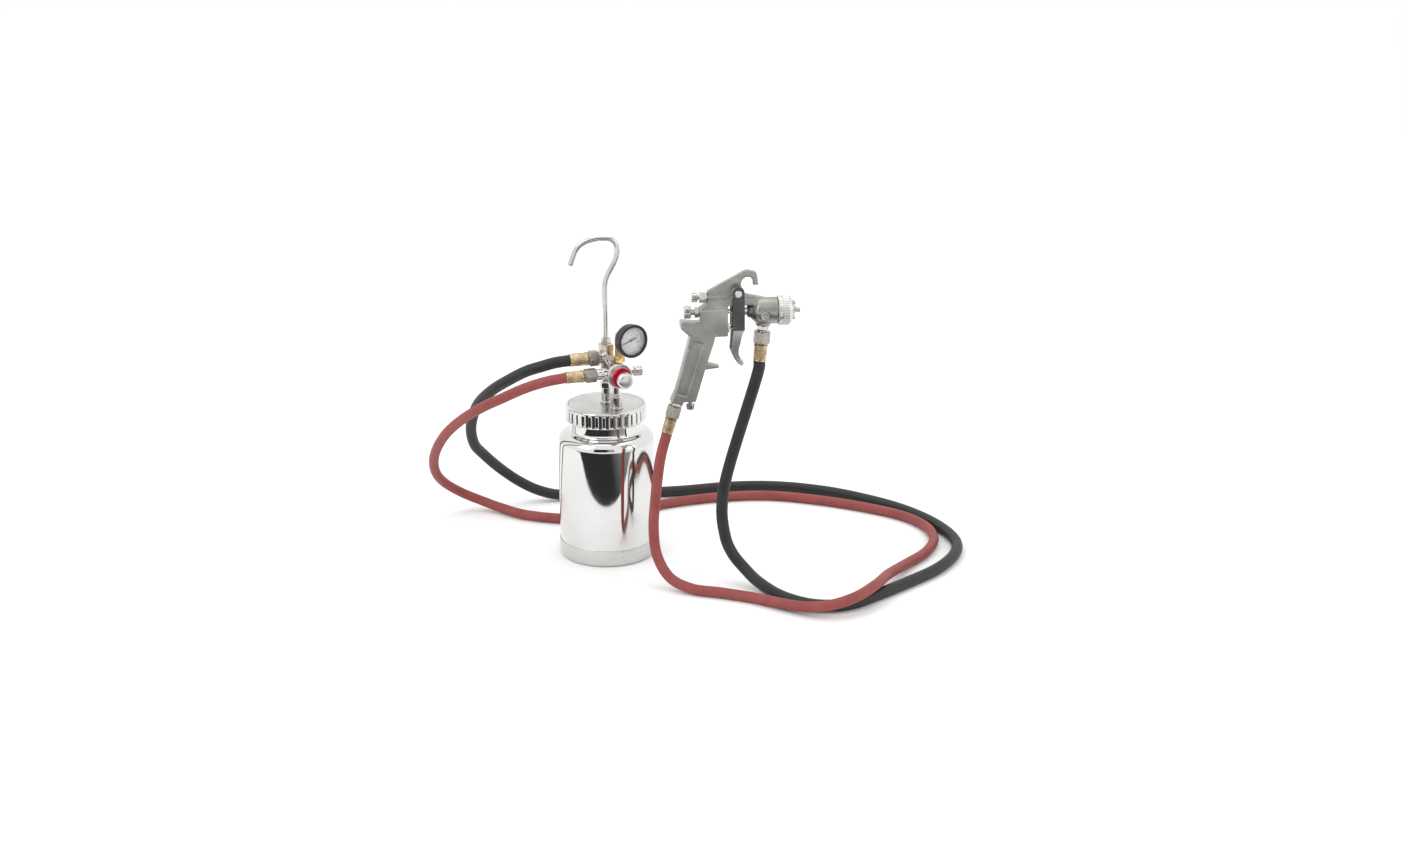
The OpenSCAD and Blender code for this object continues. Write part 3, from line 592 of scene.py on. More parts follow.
def ferrule(name, place, radius, thread, nut, length):
    """Flange and neck inside the nut, then the brass sleeve crimped in rows on the hose."""
    start, end = nut + 0.3, nut + length
    sleeve = filleted([
        (0, start), (radius - 0.4, start), (radius + 0.7, start + 0.7),
        (radius + 0.7, start + 2.6), (radius - 0.1, start + 3.4), (radius, start + 4.2),
        (radius, end - 2.2), (radius - 0.35, end - 1.6), (radius, end - 0.9),
        (radius, end), (0, end)], 0.3)
    low, high = start + 4.6, end - 2.6

    def crimp(r, z, angle):
        if not low <= z <= high:
            return r
        fade = min(1.0, (z - low) / 0.8, (high - z) / 0.8)
        row = floor((z - low) / 2.2)
        dent = max(0.0, cos(14 * angle + pi * row)) ** 2
        band = 0.5 - 0.5 * cos(2 * pi * (z - low) / 2.2)
        flat = max(0.0, cos(8 * angle)) ** 6
        return r - fade * (0.34 * dent * band + 0.25 * flat)

    neck = [(0, nut - 6.6), (thread - 0.5, nut - 6.6), (thread - 0.5, nut - 3.4),
            (4.4, nut - 3.4), (4.4, nut + 0.9), (0, nut + 0.9)]
    return turned(name + "_sleeve", [(divided(sleeve, 0.45), place, 168, crimp),
                                     (neck, place, 64, None)],
                  FERRULE_BRASS, "head", [name])


swivel_nut("pot_fluid_nut", POT_FLUID, 10.4, FLUID_THREAD, 13.6, "pot_fluid_nut")
swivel_nut("pot_air_nut", POT_AIR, 9.2, AIR_THREAD, 16, "pot_air_nut")
swivel_nut("gun_fluid_nut", GUN_FLUID, 11, FLUID_THREAD, 16, "gun_fluid_nut")
swivel_nut("gun_air_nut", GUN_AIR, 9.2, AIR_THREAD, 16, "gun_air_nut")
fluid_ends = [ferrule("pot_fluid_ferrule", POT_FLUID, 8.1, FLUID_THREAD, 13.6, 23.8),
              ferrule("gun_fluid_ferrule", GUN_FLUID, 7.9, FLUID_THREAD, 16, 20.7)]
air_ends = [ferrule("pot_air_ferrule", POT_AIR, 7.3, AIR_THREAD, 16, 23.3),
            ferrule("gun_air_ferrule", GUN_AIR, 7, AIR_THREAD, 16, 19)]


def nipple(name, place, thread, low, hex_low, hex_high, corner, lead):
    """A double-ended nipple: the gun's thread, a hexagon and the hose nut's thread."""
    top = 16 - 7
    flat = corner * HEX_FLAT
    shape = both(hexagon(flat, hex_low, hex_high), threaded(PITCH, 0.55, hex_high + 0.6, top))
    lathe(name + "_body", name, place, GUN_CHROME, [
        (0, low), (lead, low), (lead, hex_low), (flat, hex_low), (corner, hex_low + 0.8),
        (corner, hex_high - 0.8), (flat, hex_high), (thread, hex_high), (thread, top - 0.8),
        (thread - 0.8, top), (0, top)], 0.25, 0.35, shape)


nipple("fluid_inlet_nipple", GUN_FLUID, FLUID_THREAD, -15, -7.3, -2.3, 7.9, 6.38)
nipple("air_inlet_nipple", GUN_AIR, AIR_THREAD, -14, -5.2, -1.2, 8, 4.98)


# ---- Pot and lid ----------------------------------------------------------

WORLD = Matrix.Identity(4)
CUP_R = 61.9
SHOULDER_Z = 152
NECK_R = 46
RIM_Z = 196
LID_TOP = 201


def arc(centre, radius, start, end, steps):
    return [(centre[0] + radius * cos(radians(start + (end - start) * i / steps)),
             centre[1] + radius * sin(radians(start + (end - start) * i / steps)))
            for i in range(steps + 1)]


def pot():
    bend, corner, wall = 13, 5, 1.6
    outer = [(0, 0)] + arc((CUP_R - corner, corner), corner, -90, 0, 8)
    outer += arc((CUP_R - bend, SHOULDER_Z), bend, 0, 80, 24)
    outer += filleted([outer[-1], (NECK_R + 0.4, 166.2, 2.5), (NECK_R, 171, 3), (NECK_R, 183),
                       (NECK_R + 0.9, 184.2), (NECK_R + 0.9, 185.4), (NECK_R, 186.6),
                       (NECK_R, 188.2), (NECK_R + 0.9, 189.4), (NECK_R + 0.9, 190.6),
                       (NECK_R, 191.8), (NECK_R, RIM_Z), (NECK_R - 2, RIM_Z),
                       (NECK_R - 2, SHOULDER_Z + bend)], 0.5)[1:]
    inner = arc((CUP_R - bend, SHOULDER_Z), bend - wall, 75, 0, 16)
    inner += arc((CUP_R - corner, corner), corner - wall, 0, -90, 8) + [(0, wall)]
    turned("pot_shell", [(divided(outer + inner, 12), WORLD, 192, None)],
           POT_STEEL, "pot", ["pot_cup"], 50)
    foot = 22
    bottom = (CUP_R - 4.9, 5)
    sleeve = arc(bottom, 5.6, -60, 0, 8)
    sleeve += filleted([sleeve[-1], (CUP_R + 0.7, foot - 0.1), (CUP_R + 0.45, foot),
                        (CUP_R + 0.1, foot - 0.15), (CUP_R + 0.1, 5)], 0.15)[1:]
    sleeve += arc(bottom, 5, 0, -60, 8)[1:]
    turned("foot_sleeve", [(divided(sleeve, 8), WORLD, 192, None)],
           SLEEVE, "pot", ["foot_band"])


def lid():
    lathe("lid_disc", "lid", WORLD, LID_STEEL, [
        (0, RIM_Z - 2), (43.6, RIM_Z - 2), (43.6, RIM_Z + 1.5), (49, RIM_Z + 1.5),
        (49, RIM_Z + 3.2), (47.7, RIM_Z + 3.2), (47.7, LID_TOP, 1.1), (44.6, LID_TOP),
        (44.2, LID_TOP - 0.35), (43.8, LID_TOP - 0.35), (43.4, LID_TOP), (0, LID_TOP)], 0.2, 3,
        sides=192)


def ring():
    """The screw ring: flutes round at the top and open at the lower edge."""
    count, groove, outside, bottom = 36, 2.7, 51.5, 180
    low, high = bottom + 3.4, LID_TOP - 5.6

    def fluted(r, z, angle):
        if r < outside - 1.6:
            return r
        off = (angle * count / (2 * pi)) % 1.0
        across = (min(off, 1 - off)) * 2 * pi * outside / count
        past = max(0.0, z - high, low - z)
        near = 1 - hypot(across, past) / groove
        return r - 1.15 * ease(near * 2.2)

    outer = filleted([(47.3, bottom), (outside - 1.4, bottom), (outside, bottom + 1.4),
                      (outside, LID_TOP - 1.5, 1.2), (outside - 1.4, LID_TOP, 1.0),
                      (48, LID_TOP), (48, RIM_Z + 3.5), (49.3, RIM_Z + 3.5),
                      (49.3, RIM_Z + 1), (47.3, RIM_Z + 1), (47.3, bottom)], 0.5)
    turned("ring_body", [(divided(outer, 0.7)[:-1], WORLD, 36 * 14, fluted)],
           RING_STEEL, "screw_ring", ["screw_ring"], 50)


pot()
lid()
ring()


# ---- Manifold -------------------------------------------------------------

def add_block(bm, layer, low, high, place, radius):
    """Adds a block with rounded edges."""
    size = [b - a for a, b in zip(low, high)]
    middle = [(a + b) / 2 for a, b in zip(low, high)]
    made = bmesh.ops.create_cube(bm, size=1.0)
    bmesh.ops.scale(bm, vec=size, verts=made["verts"])
    bmesh.ops.translate(bm, vec=middle, verts=made["verts"])
    edges = {edge for vertex in made["verts"] for edge in vertex.link_edges}
    faces = {face for vertex in made["verts"] for face in vertex.link_faces}
    done = bmesh.ops.bevel(bm, geom=[*made["verts"], *edges, *faces], offset=radius,
                           segments=3, profile=0.5, affect="EDGES")
    verts = {v for face in done["faces"] for v in face.verts}
    verts |= {v for v in made["verts"] if v.is_valid}
    for vertex in verts:
        vertex[layer] = Vector((vertex.co.x, vertex.co.z, vertex.co.y)) * MM
        vertex.co = place @ vertex.co * MM


def outlet():
    side, foot = 16, 248
    bm, layer = new_mesh()
    half = side / 2
    add_block(bm, layer, (RISER_X - half, -half, foot), (RISER_X + half, half, foot + 31),
              MANIFOLD, 1.1)
    boss = filleted([(0, -9), (7.4, -9), (7.4, -0.8), (6.7, 0), (FLUID_THREAD, 0.1),
                     (FLUID_THREAD, 5.8), (5.8, 6.6), (0, 6.6)], 0.3)
    add_turned(bm, layer, divided(boss, 0.4), POT_FLUID, 96, threaded(PITCH, 0.5, 0.4, 6.4))
    finish_mesh("outlet_casting", bm, BLOCK_PLATE, "head", ["outlet_block"])


def riser():
    lathe("riser_column", "fluid_riser", MANIFOLD @ move(RISER_X, 0, LID_TOP), PLATE,
          [
        (3.5, 0), (8.6, 0), (8.6, 2.4), (7.9, 3), (7, 3.2), (7, 20.6), (8, 20.8), (9.2, 21.6),
        (9.2, 27.2), (8, 28), (7, 28.2), (7, 46.4), (6.4, 47), (3.5, 47)], 0.4, 1.5,
        hexagon(7.97, 20.7, 28.1))
    lathe("post_column", "regulator_post", MANIFOLD @ move(REG_X, AIR_Y, LID_TOP), PLATE,
          [
        (2.5, 0), (8.2, 0), (8.2, 1.9), (7.7, 2.4), (7.2, 2.6), (7.2, 17.2, 0.9), (5, 18.4, 0.6),
        (5, 36), (2.5, 36)], 0.4, 2, sides=96)


def hook():
    route = [(2, 0, 272), (2, 0, 290), (2, 0, 310), (1.6, 0, 346), (2.6, 0, 357), (5.8, 0, 367),
             (11, 0, 377), (15.6, 0, 386), (17.6, 0, 394)]
    route += [(x, 0, z) for x, z in arc((5, 400.5), 12.5, 0, 75, 3)]
    route += [(-4, 0, 412.8), (-16, 0, 410.3), (-25.9, 0, 405.9), (-32.2, 0, 399.6),
              (-36.4, 0, 390.8), (-40.6, 0, 379)]
    path = [p + Vector((-0.6, 0.5, 0)) for p in smooth_path(route, 6)]
    first, last = path[0], path[-1]
    path = [first] + [first + (path[1] - first).normalized() * 0.5] + path[1:-1]
    path += [last + (path[-1] - last).normalized() * 0.5, last]
    bm, layer = new_mesh()
    add_swept(bm, layer, path, 3.48, 32, 0.5)
    finish_mesh("hook_rod", bm, HOOK_CHROME, "head", ["hanging_hook"], 50)
    lathe("hook_nut", "hook_lock_nut", MANIFOLD @ move(RISER_X, 0, 279), BLOCK_PLATE, [
        (3.52, 0), (5.45, 0), (6.3, 0.7), (6.3, 6.3), (5.45, 7), (3.52, 7)], 0.2, 0.8,
        hexagon(5.456))


def regulator():
    arm = MANIFOLD @ move(REG_X, AIR_Y, AIR_Z)
    left, right = arm @ turn(-90, "Y"), arm @ turn(90, "Y")
    drum = filleted([(0, -13), (9, -13), (10, -12.2), (10, -11.6), (12.6, -11.5),
                     (13.5, -10.6), (13.5, 7.2), (13.2, 7.5), (0, 7.5)], 0.4)
    left_arm = filleted([(0, 4), (7.4, 4), (7.4, 13.9), (8.5, 14.1), (8.5, 18.4), (7.9, 19),
                         (6.8, 19.1), (6.8, 25.9),
                         (6.2, 26.5), (AIR_THREAD, 26.6), (AIR_THREAD, 34.7),
                         (AIR_THREAD - 0.7, 35.5), (0, 35.5)], 0.3)
    right_arm = filleted([(0, 4), (7.4, 4), (7.4, 13.8), (6.7, 14.5), (0, 14.5)], 0.4)
    foot = filleted([(0, -2), (7.4, -2), (7.4, 11.4), (6.8, 12), (0, 12)], 0.4)
    turned("regulator_casting", [
        (divided(drum, 2), REGULATOR, 120, None),
        (divided(left_arm, 0.35), left, 96, threaded(PITCH, 0.5, 27, 35)),
        (divided(right_arm, 2), right, 96, None),
        (divided(foot, 2), arm @ turn(180, "X"), 96, None)],
        PLATE, "head", ["regulator_body"])
    lathe("bell_flare", "regulator_bell", REGULATOR, KNOB_METAL, [
        (4.08, 7.5), (13.5, 7.5), (13.5, 8.6), (12.2, 9.2), (12.6, 12), (14, 14.4), (15.7, 16),
        (16, 16.8), (15.7, 17.6), (14.4, 18), (11.4, 17), (11, 22), (4.08, 22)], 0.45, 1.5,
        sides=120)
    lathe("red_band", "regulator_red_ring", REGULATOR, RED_ANODISED, [
        (4.6, 22), (11.7, 22), (12.2, 22.5), (12.2, 25.7), (11.5, 26.6), (10, 26.6), (9.7, 26.3),
        (4.6, 26.3)], 0.3, 1, sides=120)
    knob = [(0, 8), (4, 8), (4, 27), (4.6, 27), (4.6, 30.5), (8.6, 33.4), (9.9, 34.9),
            (10.2, 35.8), (10.2, 38.6)]
    knob = filleted(knob, 0.4) + arc((5.2, 38.6), 5, 8, 84, 12) + [(2.6, 44), (0, 44.2)]
    turned("pressure_knob", [(divided(knob, 0.8), REGULATOR, 144,
                              grooved(60, 0.12, 35.6, 38.8))],
           KNOB_METAL, "regulator_knob", ["regulator_knob"])


def air_fittings():
    lathe("inlet_thread", "air_inlet_plug", MANIFOLD @ move(13.5, AIR_Y, AIR_Z) @ turn(90, "Y"),
          PLATE, [
        (2.6, 2.5), (4.5, 2.5), (4.5, 14.5), (5.6, 14.5), (6.55, 15.4), (6.55, 24.6), (5.7, 25.5),
        (2.6, 25.5)], 0.3, 0.33, threaded(PITCH, 0.6, 15.2, 25.2), sides=96)
    lathe("relief_body", "relief_valve_body", RELIEF, PLATE, [
        (1.6, -1.8), (3, -1.8), (3, 2), (3.6, 2.2), (3.6, 10.4), (3.1, 11), (1.6, 11)], 0.25, 1,
        sides=72)
    lathe("relief_pull_knob", "relief_valve_pull", RELIEF, PLATE, [
        (0, 5), (1.5, 5), (1.5, 11.4), (3.4, 11.4), (3.8, 11.9), (3.8, 13), (3.3, 13.4), (3.3, 14),
        (3.8, 14.4), (3.8, 17.8), (3.1, 18.4), (0, 18.4)], 0.25, 0.6,
        grooved(20, 0.15, 14.6, 17.6), sides=72, body="relief_pull")


outlet()
riser()
hook()
regulator()
air_fittings()


# ---- Gauge ----------------------------------------------------------------

GAUGE_R = 21


def gauge():
    stand = MANIFOLD @ move(10, AIR_Y, AIR_Z + 9)
    rise = GAUGE_Z - AIR_Z - 9
    column = filleted([(0, 0), (4.5, 0), (4.5, 4.9), (6.2, 5), (7.2, 5.7), (7.2, 11.3),
                       (6.2, 12), (5.4, 12.1), (5.4, rise), (0, rise)], 0.3)
    reach = filleted([(0, 0), (5.4, 0), (5.4, GAUGE_BACK - 7), (6.6, GAUGE_BACK - 7),
                      (7.6, GAUGE_BACK - 6.2), (7.6, GAUGE_BACK - 0.8), (6.6, GAUGE_BACK),
                      (0, GAUGE_BACK)], 0.3)
    ball = [(0, -5.4)] + arc((0, 0), 5.4, -82, 82, 20) + [(0, 5.4)]
    turned("gauge_elbow", [
        (divided(column, 1.2), stand, 144, hexagon(6.24, 4.9, 12.05)),
        (divided(reach, 1.2), GAUGE, 144, hexagon(6.58, GAUGE_BACK - 7.1, GAUGE_BACK)),
        (ball, GAUGE, 96, None)],
        GAUGE_BRASS, "head", ["gauge_stem_elbow"])
    face = GAUGE @ move(0, 0, GAUGE_BACK)
    lathe("gauge_can", "gauge_case", face, GAUGE_BLACK, [
        (0, 0), (12, 0), (12.6, 0.5), (GAUGE_R - 3, 0.5), (GAUGE_R - 0.7, 2.4),
        (GAUGE_R - 0.7, 9.5), (GAUGE_R - 1.6, 9.5), (GAUGE_R - 1.6, 2.6), (GAUGE_R - 3, 2),
        (0, 2)], 0.8, 1.5)
    lathe("gauge_rim", "gauge_bezel", face, GAUGE_BLACK, [
        (GAUGE_R - 1.5, 9.6), (GAUGE_R - 0.5, 9.6), (GAUGE_R, 10.2), (GAUGE_R, 13.3),
        (GAUGE_R - 0.9, 14.5), (18.6, 14.5), (17.3, 13.7), (17.2, 13), (GAUGE_R - 1.5, 13)], 0.4,
        0.9)
    lathe("gauge_card", "gauge_dial", face, DIAL_WHITE, [
        (0, 6), (19.3, 6), (19.3, 6.8), (18.6, 6.8), (0, 6.8)], 0.15, 2)
    lathe("gauge_glass", "gauge_lens", face, WINDOW, [
        (0, 11.4), (19.1, 11.4), (19.1, 12.9), (17, 12.95), (0, 12.95)], 0.3, 2)
    return face


def add_bar(bm, place, low, high, height):
    """Adds a thin flat bar, printed on the face, as a closed solid."""
    corners = [(low[0], low[1]), (high[0], low[1]), (high[0], high[1]), (low[0], high[1])]
    under = [bm.verts.new(place @ Vector((x, y, 0)) * MM) for x, y in corners]
    over = [bm.verts.new(place @ Vector((x, y, height)) * MM) for x, y in corners]
    bm.faces.new(list(reversed(under)))
    bm.faces.new(over)
    for k in range(4):
        m = (k + 1) % 4
        bm.faces.new((under[k], under[m], over[m], over[k]))


def dial_marks(face):
    """A scale of ten over three quarters of a turn, with an arc under it."""
    top = face @ move(0, 0, 6.79)
    bm = bmesh.new()
    start, sweep, marks = 198, 216, 50
    for i in range(marks + 1):
        angle = start - sweep * i / marks
        long = i % 5 == 0
        inner, wide = (13.4, 0.26) if long else (14.6, 0.13)
        add_bar(bm, top @ turn(angle, "Z"), (inner, -wide), (16.2, wide), 0.08)
    steps = 90
    for i in range(steps):
        angle = start - sweep * (i + 0.5) / steps
        half = 16.4 * radians(sweep / steps) / 2
        add_bar(bm, top @ turn(angle, "Z"), (16.2, -half), (16.5, half), 0.08)
    finish_mesh("gauge_scale", bm, INK, "head")
    for i in range(0, 11, 2):
        angle = radians(start - sweep * i / 10)
        text = bpy.data.curves.new("number", "FONT")
        text.body = str(i)
        text.size = 3.4 * MM
        text.extrude = 0.04 * MM
        text.align_x = "CENTER"
        text.align_y = "CENTER"
        probe = put("number", text)
        bpy.context.view_layer.update()
        mesh = bpy.data.meshes.new_from_object(probe)
        bpy.data.objects.remove(probe)
        spot = top @ move(11.2 * cos(angle), 11.2 * sin(angle), 0.05)
        mesh.transform(Matrix.Scale(MM, 4) @ spot @ Matrix.Scale(1 / MM, 4))
        mesh.materials.clear()
        mesh.materials.append(INK)
        number = put(f"dial_number_{i}", mesh)
        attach(number, "head")


dial_marks(gauge())


# ---- Gun: turned parts ----------------------------------------------------

def gun_controls():
    lathe("needle_gland", "needle_bush", along_gun(NEEDLE_BUSH_X), GUN_CHROME, [
        (3.58, 0), (5.9, 0), (6.8, 0.8), (6.8, 4.6), (5.9, 5.4), (4.98, 5.4), (4.98, 20.4),
        (3.58, 20.4)], 0.25, 1, hexagon(5.89, -0.1, 5.45))
    lathe("fluid_screw", "fluid_knob", along_gun(FLUID_KNOB_X), GUN_CHROME, [
        (0, 0), (6.6, 0), (7.6, 0.9), (7.6, 7.6), (6.9, 8.4), (5, 9), (3.5, 9), (3.5, 17),
        (0, 17)], 0.5, 0.5, grooved(18, 0.75, 1.2, 8.2, 1.5), sides=216, body="fluid_knob")
    lathe("fan_gland", "fan_valve_body", along_gun(FAN_VALVE_X, FAN_Z), GUN_CHROME, [
        (2.28, 0), (6.06, 0), (7, 0.9), (7, 8.3), (6.06, 9.2), (3.98, 9.2), (3.98, 17.8),
        (2.28, 17.8)], 0.25, 1, hexagon(6.06, -0.1, 9.25))
    lathe("fan_screw", "fan_knob", along_gun(FAN_KNOB_X, FAN_Z), GUN_CHROME, [
        (0, 0), (5, 0), (5.8, 0.8), (5.8, 6.8), (5.1, 7.6), (3.6, 8), (2.2, 8), (2.2, 20),
        (0, 20)], 0.4, 0.5, grooved(16, 0.6, 1.0, 7.2, 1.5), sides=192, body="fan_knob")
    lathe("valve_gland", "air_valve_nut", along_gun(AIR_NUT_X, VALVE_Z), GUN_CHROME,
          [
        (2.08, 0), (4.48, 0), (4.48, 12.1), (5.37, 12.1), (6.2, 12.7), (6.2, 13.9), (5.37, 14.5),
        (2.08, 14.5)], 0.2, 0.8, hexagon(5.37, 12, 14.6))
    lathe("valve_stem", "air_valve_stem", along_gun(AIR_STEM_X, VALVE_Z), STAINLESS,
          [
        (0, 0), (2, 0), (2, 28.8), (1.5, 29.8), (0, 30.2)], 0.4, 1, sides=48,
        body="air_valve_stem")
    lathe("packing_gland", "packing_nut", along_gun(PACKING_X), GUN_CHROME, [
        (1.58, 0), (4.33, 0), (5, 0.7), (5, 4.3), (4.33, 5), (3.98, 5), (3.98, 13), (1.58, 13)],
        0.2, 0.8, hexagon(4.33, -0.1, 5.05))
    lathe("needle_rod", "fluid_needle", along_gun(NEEDLE_X), STAINLESS, [
        (0, 0), (1.5, 0), (1.5, 13.5), (3.3, 13.5), (3.3, 15), (2.8, 15), (2.8, 36.5), (1.5, 36.5),
        (1.5, 100), (0.5, 106), (0, 106)], 0.2, 3, sides=48, body="fluid_needle")
    lathe("air_screw", "cheater_knob", GUN @ move(-56, 0, -121), GUN_CHROME, [
        (0, 0), (3.6, 0), (4.4, 0.7), (5.6, 6.9), (5, 7.5), (2.8, 7.7), (2.8, 21), (0, 21)], 0.4,
        0.5, grooved(18, 0.35, 1.0, 7.0, 1.2), body="cheater_knob")
    reach = 11.4 + 3.95
    across = GUN @ move(PIVOT[0], 0, PIVOT[1]) @ turn(90, "X")
    lathe("trigger_screw", "trigger_pivot", across, GUN_CHROME, [
        (0, -reach - 1.5), (3.4, -reach - 1.5), (4.4, -reach - 0.7), (4.4, -reach + 0.1),
        (2.5, -reach + 0.1), (2.5, reach - 0.1), (4.4, reach - 0.1), (4.4, reach + 0.7),
        (3.4, reach + 1.5), (0, reach + 1.5)], 0.3, 1.5, sides=72)
    lathe("head_screw", "head_plug", GUN @ move(31.7, -11.5, -4) @ turn(90, "X"), CASTING,
          [
        (0, 0), (5.98, 0), (5.98, 4.4), (5.2, 5.4), (4.2, 5.4), (3.6, 4.9), (0, 4.9)], 0.4, 0.6,
        sides=96)


def gun_front():
    lathe("paint_nozzle", "fluid_nozzle", along_gun(NOZZLE_X), STAINLESS, [
        (0.9, 0), (6.98, 0), (6.98, 10.5), (9, 10.5), (9, 13.5), (6.5, 15), (2.6, 29), (2.1, 30),
        (2.1, 36.2), (1.8, 36.4), (0.9, 36.4)], 0.2, 1.5, sides=96)
    cap = filleted([(2.5, 12.5), (5, 12.5), (5, 5), (10.4, 5), (10.4, 0), (13.4, 0),
                    (13.4, 5.2), (12, 5.6), (12, 8.6), (11.4, 9.8, 1), (9.6, 11.2, 1),
                    (4.6, 13.3), (3.3, 15), (3.1, 19), (2.9, 19.4), (2.5, 19.4),
                    (2.5, 12.5)], 0.4)
    bm, layer = new_mesh()
    add_turned(bm, layer, divided(cap[:-1], 0.9), along_gun(AIR_CAP_X), 144, None)
    for side in (-1, 1):
        add_block(bm, layer, (65.2, -3.4, min(side * 7, side * 11.3)),
                  (69.8, 3.4, max(side * 7, side * 11.3)), GUN, 1.1)
    finish_mesh("air_cap_body", bm, GUN_CHROME, "air_cap", ["air_cap"])
    count = 40

    def grip(r, z, angle):
        if r < 16.6:
            return r
        if 5.6 <= z <= 12.6:
            return r - 0.55 * max(0.0, cos(count * angle)) ** 2
        if 1.2 <= z <= 4.4:
            return r - 0.9 * ease((cos(8 * angle) - 0.2) * 3)
        return r

    lathe("cap_ring", "retaining_ring", along_gun(CAP_RING_X), BAND_METAL, [
        (14.58, 0), (17.3, 0), (18.1, 0.8), (18.1, 4.5), (17.4, 4.8), (17.4, 5.2), (18.1, 5.5),
        (18.1, 12.8), (17.6, 13.6), (15.9, 16.2), (15.2, 16.4), (12.4, 16.4), (12.4, 13.9),
        (13.8, 13.9), (13.8, 7.8), (14.58, 7.8)], 0.25, 0.5, grip, sides=240,
        body="retaining_ring")


gun_controls()
gun_front()


# ---- Gun: castings --------------------------------------------------------

GUN_BACK = GUN.inverted()


def softened(name, node, voxel, rounds, material, body, carve=None):
    """A casting made from its CAD solid: one skin, rounded edges, then carved detail."""
    piece = put(name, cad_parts[node].data.copy())
    remesh = piece.modifiers.new("skin", "REMESH")
    remesh.mode = "VOXEL"
    remesh.voxel_size = voxel * MM
    soften = piece.modifiers.new("soften", "SMOOTH")
    soften.factor = 0.5
    soften.iterations = rounds
    bpy.context.view_layer.update()
    shown = piece.evaluated_get(bpy.context.evaluated_depsgraph_get())
    mesh = bpy.data.meshes.new_from_object(shown)
    bpy.data.objects.remove(piece)
    bm = bmesh.new()
    bm.from_mesh(mesh)
    bpy.data.meshes.remove(mesh)
    if carve:
        normals = {v: v.normal.copy() for v in bm.verts}
        for vertex in bm.verts:
            changed = carve(GUN_BACK @ (vertex.co / MM), GUN_BACK.to_3x3() @ normals[vertex])
            vertex.co = GUN @ changed * MM
    return finish_mesh(name, bm, material, body, [node], 80)


HANDLE_TOP = Vector((-46.5, -30))
HANDLE_END = Vector((-71, -110))


def handle_place(x, z):
    """Along the handle from its top, and across it from its middle line towards the front."""
    axis = (HANDLE_END - HANDLE_TOP).normalized()
    from_top = Vector((x, z)) - HANDLE_TOP
    return from_top.dot(axis), from_top.dot(Vector((-axis.y, axis.x)))


def inside(value, low, high, soft):
    return ease((value - low) / soft) * ease((high - value) / soft)


def carve_body(p, normal):
    """Recessed panels and serrations on the handle, and a step along the block."""
    x, y, z = p
    side = 1 if y > 0 else -1
    if z < -27 and abs(y) > 5:
        along, across = handle_place(x, z)
        flank = ease((abs(y) - 8) / 2)
        panel = inside(along, 4, 74, 1.0) * inside(across, -6.0, 7.2, 1.0)
        field = inside(along, 7, 71, 0.8) * inside(across, -1.8, 4.6, 0.8)
        y -= side * flank * (1.0 * panel - 0.45 * field)
        teeth = 0.5 + 0.5 * cos(2 * pi * (along + across * 0.6) / 5.4)
        rib = inside(along, 12, 76, 2.0) * inside(across, -15.5, -8.0, 1.4)
        y -= side * flank * rib * (0.5 + 1.5 * ease(teeth * 2.2 - 0.6))
    if z > -29 and x < -10 and abs(y) > 9.4 and z < 2:
        line = inside(z, -12.6, -10.8, 0.6) * inside(x, -68, -44, 1)
        y -= side * 0.5 * line
    return Vector((x, y, z))


def carve_trigger(p, normal):
    """The finger's side of the lever is rounded and thinner towards its tip."""
    x, y, z = p
    if z < -22:
        tip = ease((-22 - z) / 40)
        y *= 1 - 0.16 * tip
        crown = 1 - (y / 13.4) ** 2
        if normal.x > 0.2:
            x -= (1 - crown) * 2.2 * ease((-22 - z) / 6)
    return Vector((x, y, z))


def carve_cover(p, normal):
    """Shallow ribs down the outer faces of the trigger's cover."""
    x, y, z = p
    if abs(y) > 14:
        side = 1 if y > 0 else -1
        rib = inside(z, -17, 15, 2) * inside(x, -5.2, 6, 0.8)
        y -= side * 0.3 * rib * (0.5 + 0.5 * cos(2 * pi * x / 2.2))
    return Vector((x, y, z))


softened("gun_casting", "gun_body", 0.62, 5, CASTING, "head", carve_body)
softened("trigger_lever", "trigger", 0.42, 5, TRIGGER_METAL, "trigger",
         carve_trigger)
softened("trigger_grip", "trigger_cover", 0.4, 4, TRIGGER_GRIP, "trigger",
         carve_cover)


# ---- CAD nodes that stay --------------------------------------------------

KEPT = {"lid_gasket": GASKET, "pickup_tube": TUBE_STEEL, "pickup_tube_nut": TUBE_STEEL,
        "regulator_spring": SPRING_WIRE, "needle_spring": SPRING_WIRE,
        "regulator_diaphragm": GASKET, "gauge_needle": INK}
for kept_node, kept_material in KEPT.items():
    kept_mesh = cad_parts[kept_node].data
    kept_mesh.materials.clear()
    kept_mesh.materials.append(kept_material)


# ---- Floor, lights, sheets for painted reflections and surroundings -------

# The first pair is where the painted dark reflection fades from black to grey along X.
PAINTED_REFLECTION_FADE = (0.10, 0.6)
CARD_HEIGHT = 0.004
WORLD_LIGHT = 1.1
LIGHTS = [  # name, place, target, width, height and watts
    ("key", (-1.7, -1.1, 2.1), (0.1, 0, 0.15), 1.3, 1.6, 14),
    ("fill", (2.1, -0.9, 1.5), (0.1, 0, 0.2), 0.9, 1.5, 6),
    ("top", (0.1, 0.5, 2.8), (0.1, 0, 0), 2.2, 1.6, 12)]


def stage_sheet(name, rows, columns, material):
    """A flat sheet of the studio through the given places."""
    bm = bmesh.new()
    lines = [[bm.verts.new((x, y, z)) for x in columns] for y, z in rows]
    for low, high in zip(lines, lines[1:]):
        for i in range(len(columns) - 1):
            bm.faces.new((low[i], low[i + 1], high[i + 1], high[i]))
    mesh = bpy.data.meshes.new(name)
    bm.to_mesh(mesh)
    bm.free()
    mesh.materials.append(material)
    piece = put(name, mesh)
    return piece


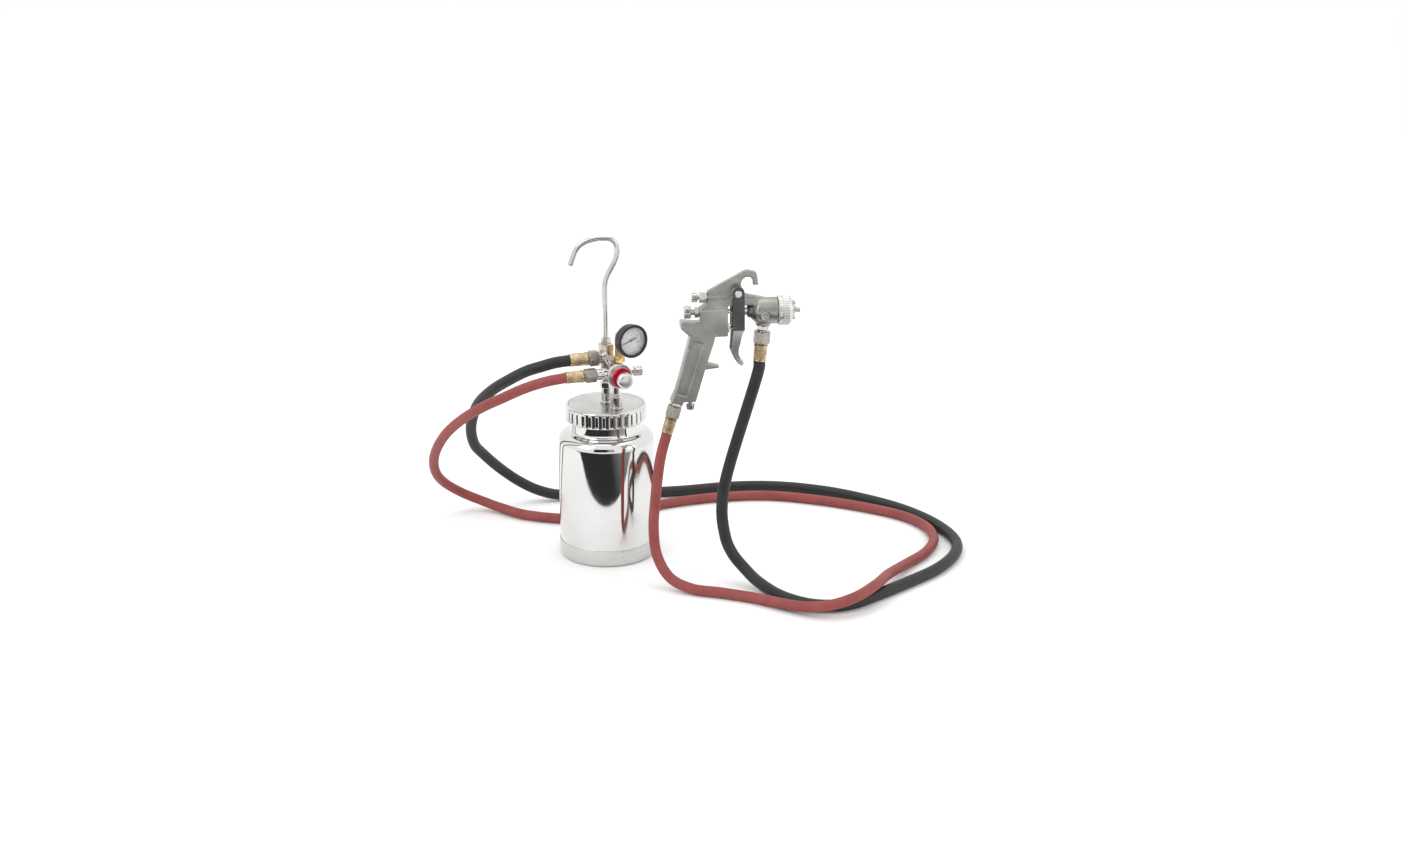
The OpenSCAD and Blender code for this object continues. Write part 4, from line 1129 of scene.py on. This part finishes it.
def table():
    """A pale table, larger than the view."""
    n = Nodes("floor_paper")
    grain = n.noise(n.where("object"), 300.0, 3.0)
    n.drive("Base Color", n.mix(grain, (0.92, 0.92, 0.92), (0.90, 0.90, 0.90)))
    set_shader(n, Roughness=0.95, Specular_IOR_Level=0.0)
    stage_sheet("floor", [(-6.0, 0), (0, 0), (14.0, 0)], (-13.0, 0, 13.0), n.material)


def black_paper():
    """Paper for painted dark reflections: black, turning grey towards +X as a painted fade of the
    reflection.
    """
    n = Nodes("painted_reflection_black")
    place = n.add("ShaderNodeSeparateXYZ")
    n.link(n.where("object"), place.inputs["Vector"])
    # side is the painted fade of the reflection, from black to grey towards +X.
    side = n.spread(place.outputs["X"], *PAINTED_REFLECTION_FADE)
    n.drive("Base Color", n.mix(side, (0.025, 0.027, 0.026), (0.38, 0.38, 0.38)))
    set_shader(n, Roughness=0.9, Specular_IOR_Level=0.0)
    return n.material


def dark_card(name, rows, columns, material):
    """A black card hidden from the camera, from diffuse light and from shadows, seen only in
    polished metal: a painted dark reflection.
    """
    card = stage_sheet(name, rows, columns, material)
    card.visible_camera = False
    card.visible_diffuse = False
    card.visible_shadow = False
    card.visible_transmission = False


def area_light(name, place, target, width, height, watts):
    data = bpy.data.lights.new(name, "AREA")
    data.shape = "RECTANGLE"
    data.size = width
    data.size_y = height
    data.energy = watts
    light = put(name, data)
    light.location = place
    light.rotation_euler = (Vector(target) - Vector(place)).to_track_quat("-Z", "Y").to_euler()


def surroundings():
    """An evenly lit white studio."""
    world = bpy.data.worlds.new("studio")
    world.use_nodes = True
    bpy.context.scene.world = world
    background = world.node_tree.nodes["Background"]
    background.inputs["Color"].default_value = (1, 1, 1, 1)
    background.inputs["Strength"].default_value = WORLD_LIGHT


table()
PAINTED_REFLECTION_PAPER = black_paper()
# Two sheets seen only in reflections paint dark reflections into the polished metal: one on the
# floor in front of the pot, one as a far wall.
dark_card("dark_card", [(y, CARD_HEIGHT) for y in (-0.95, -0.6, -0.27)], (-0.9, 0, 0.9),
          PAINTED_REFLECTION_PAPER)
dark_card("painted_reflection_wall", [(-3.3, z) for z in (0.5, 1.4, 2.6)], (-1.7, 0, 1.3), PAINTED_REFLECTION_PAPER)
surroundings()
for spec in LIGHTS:
    area_light(*spec)
bpy.context.scene.view_settings.view_transform = "Standard"
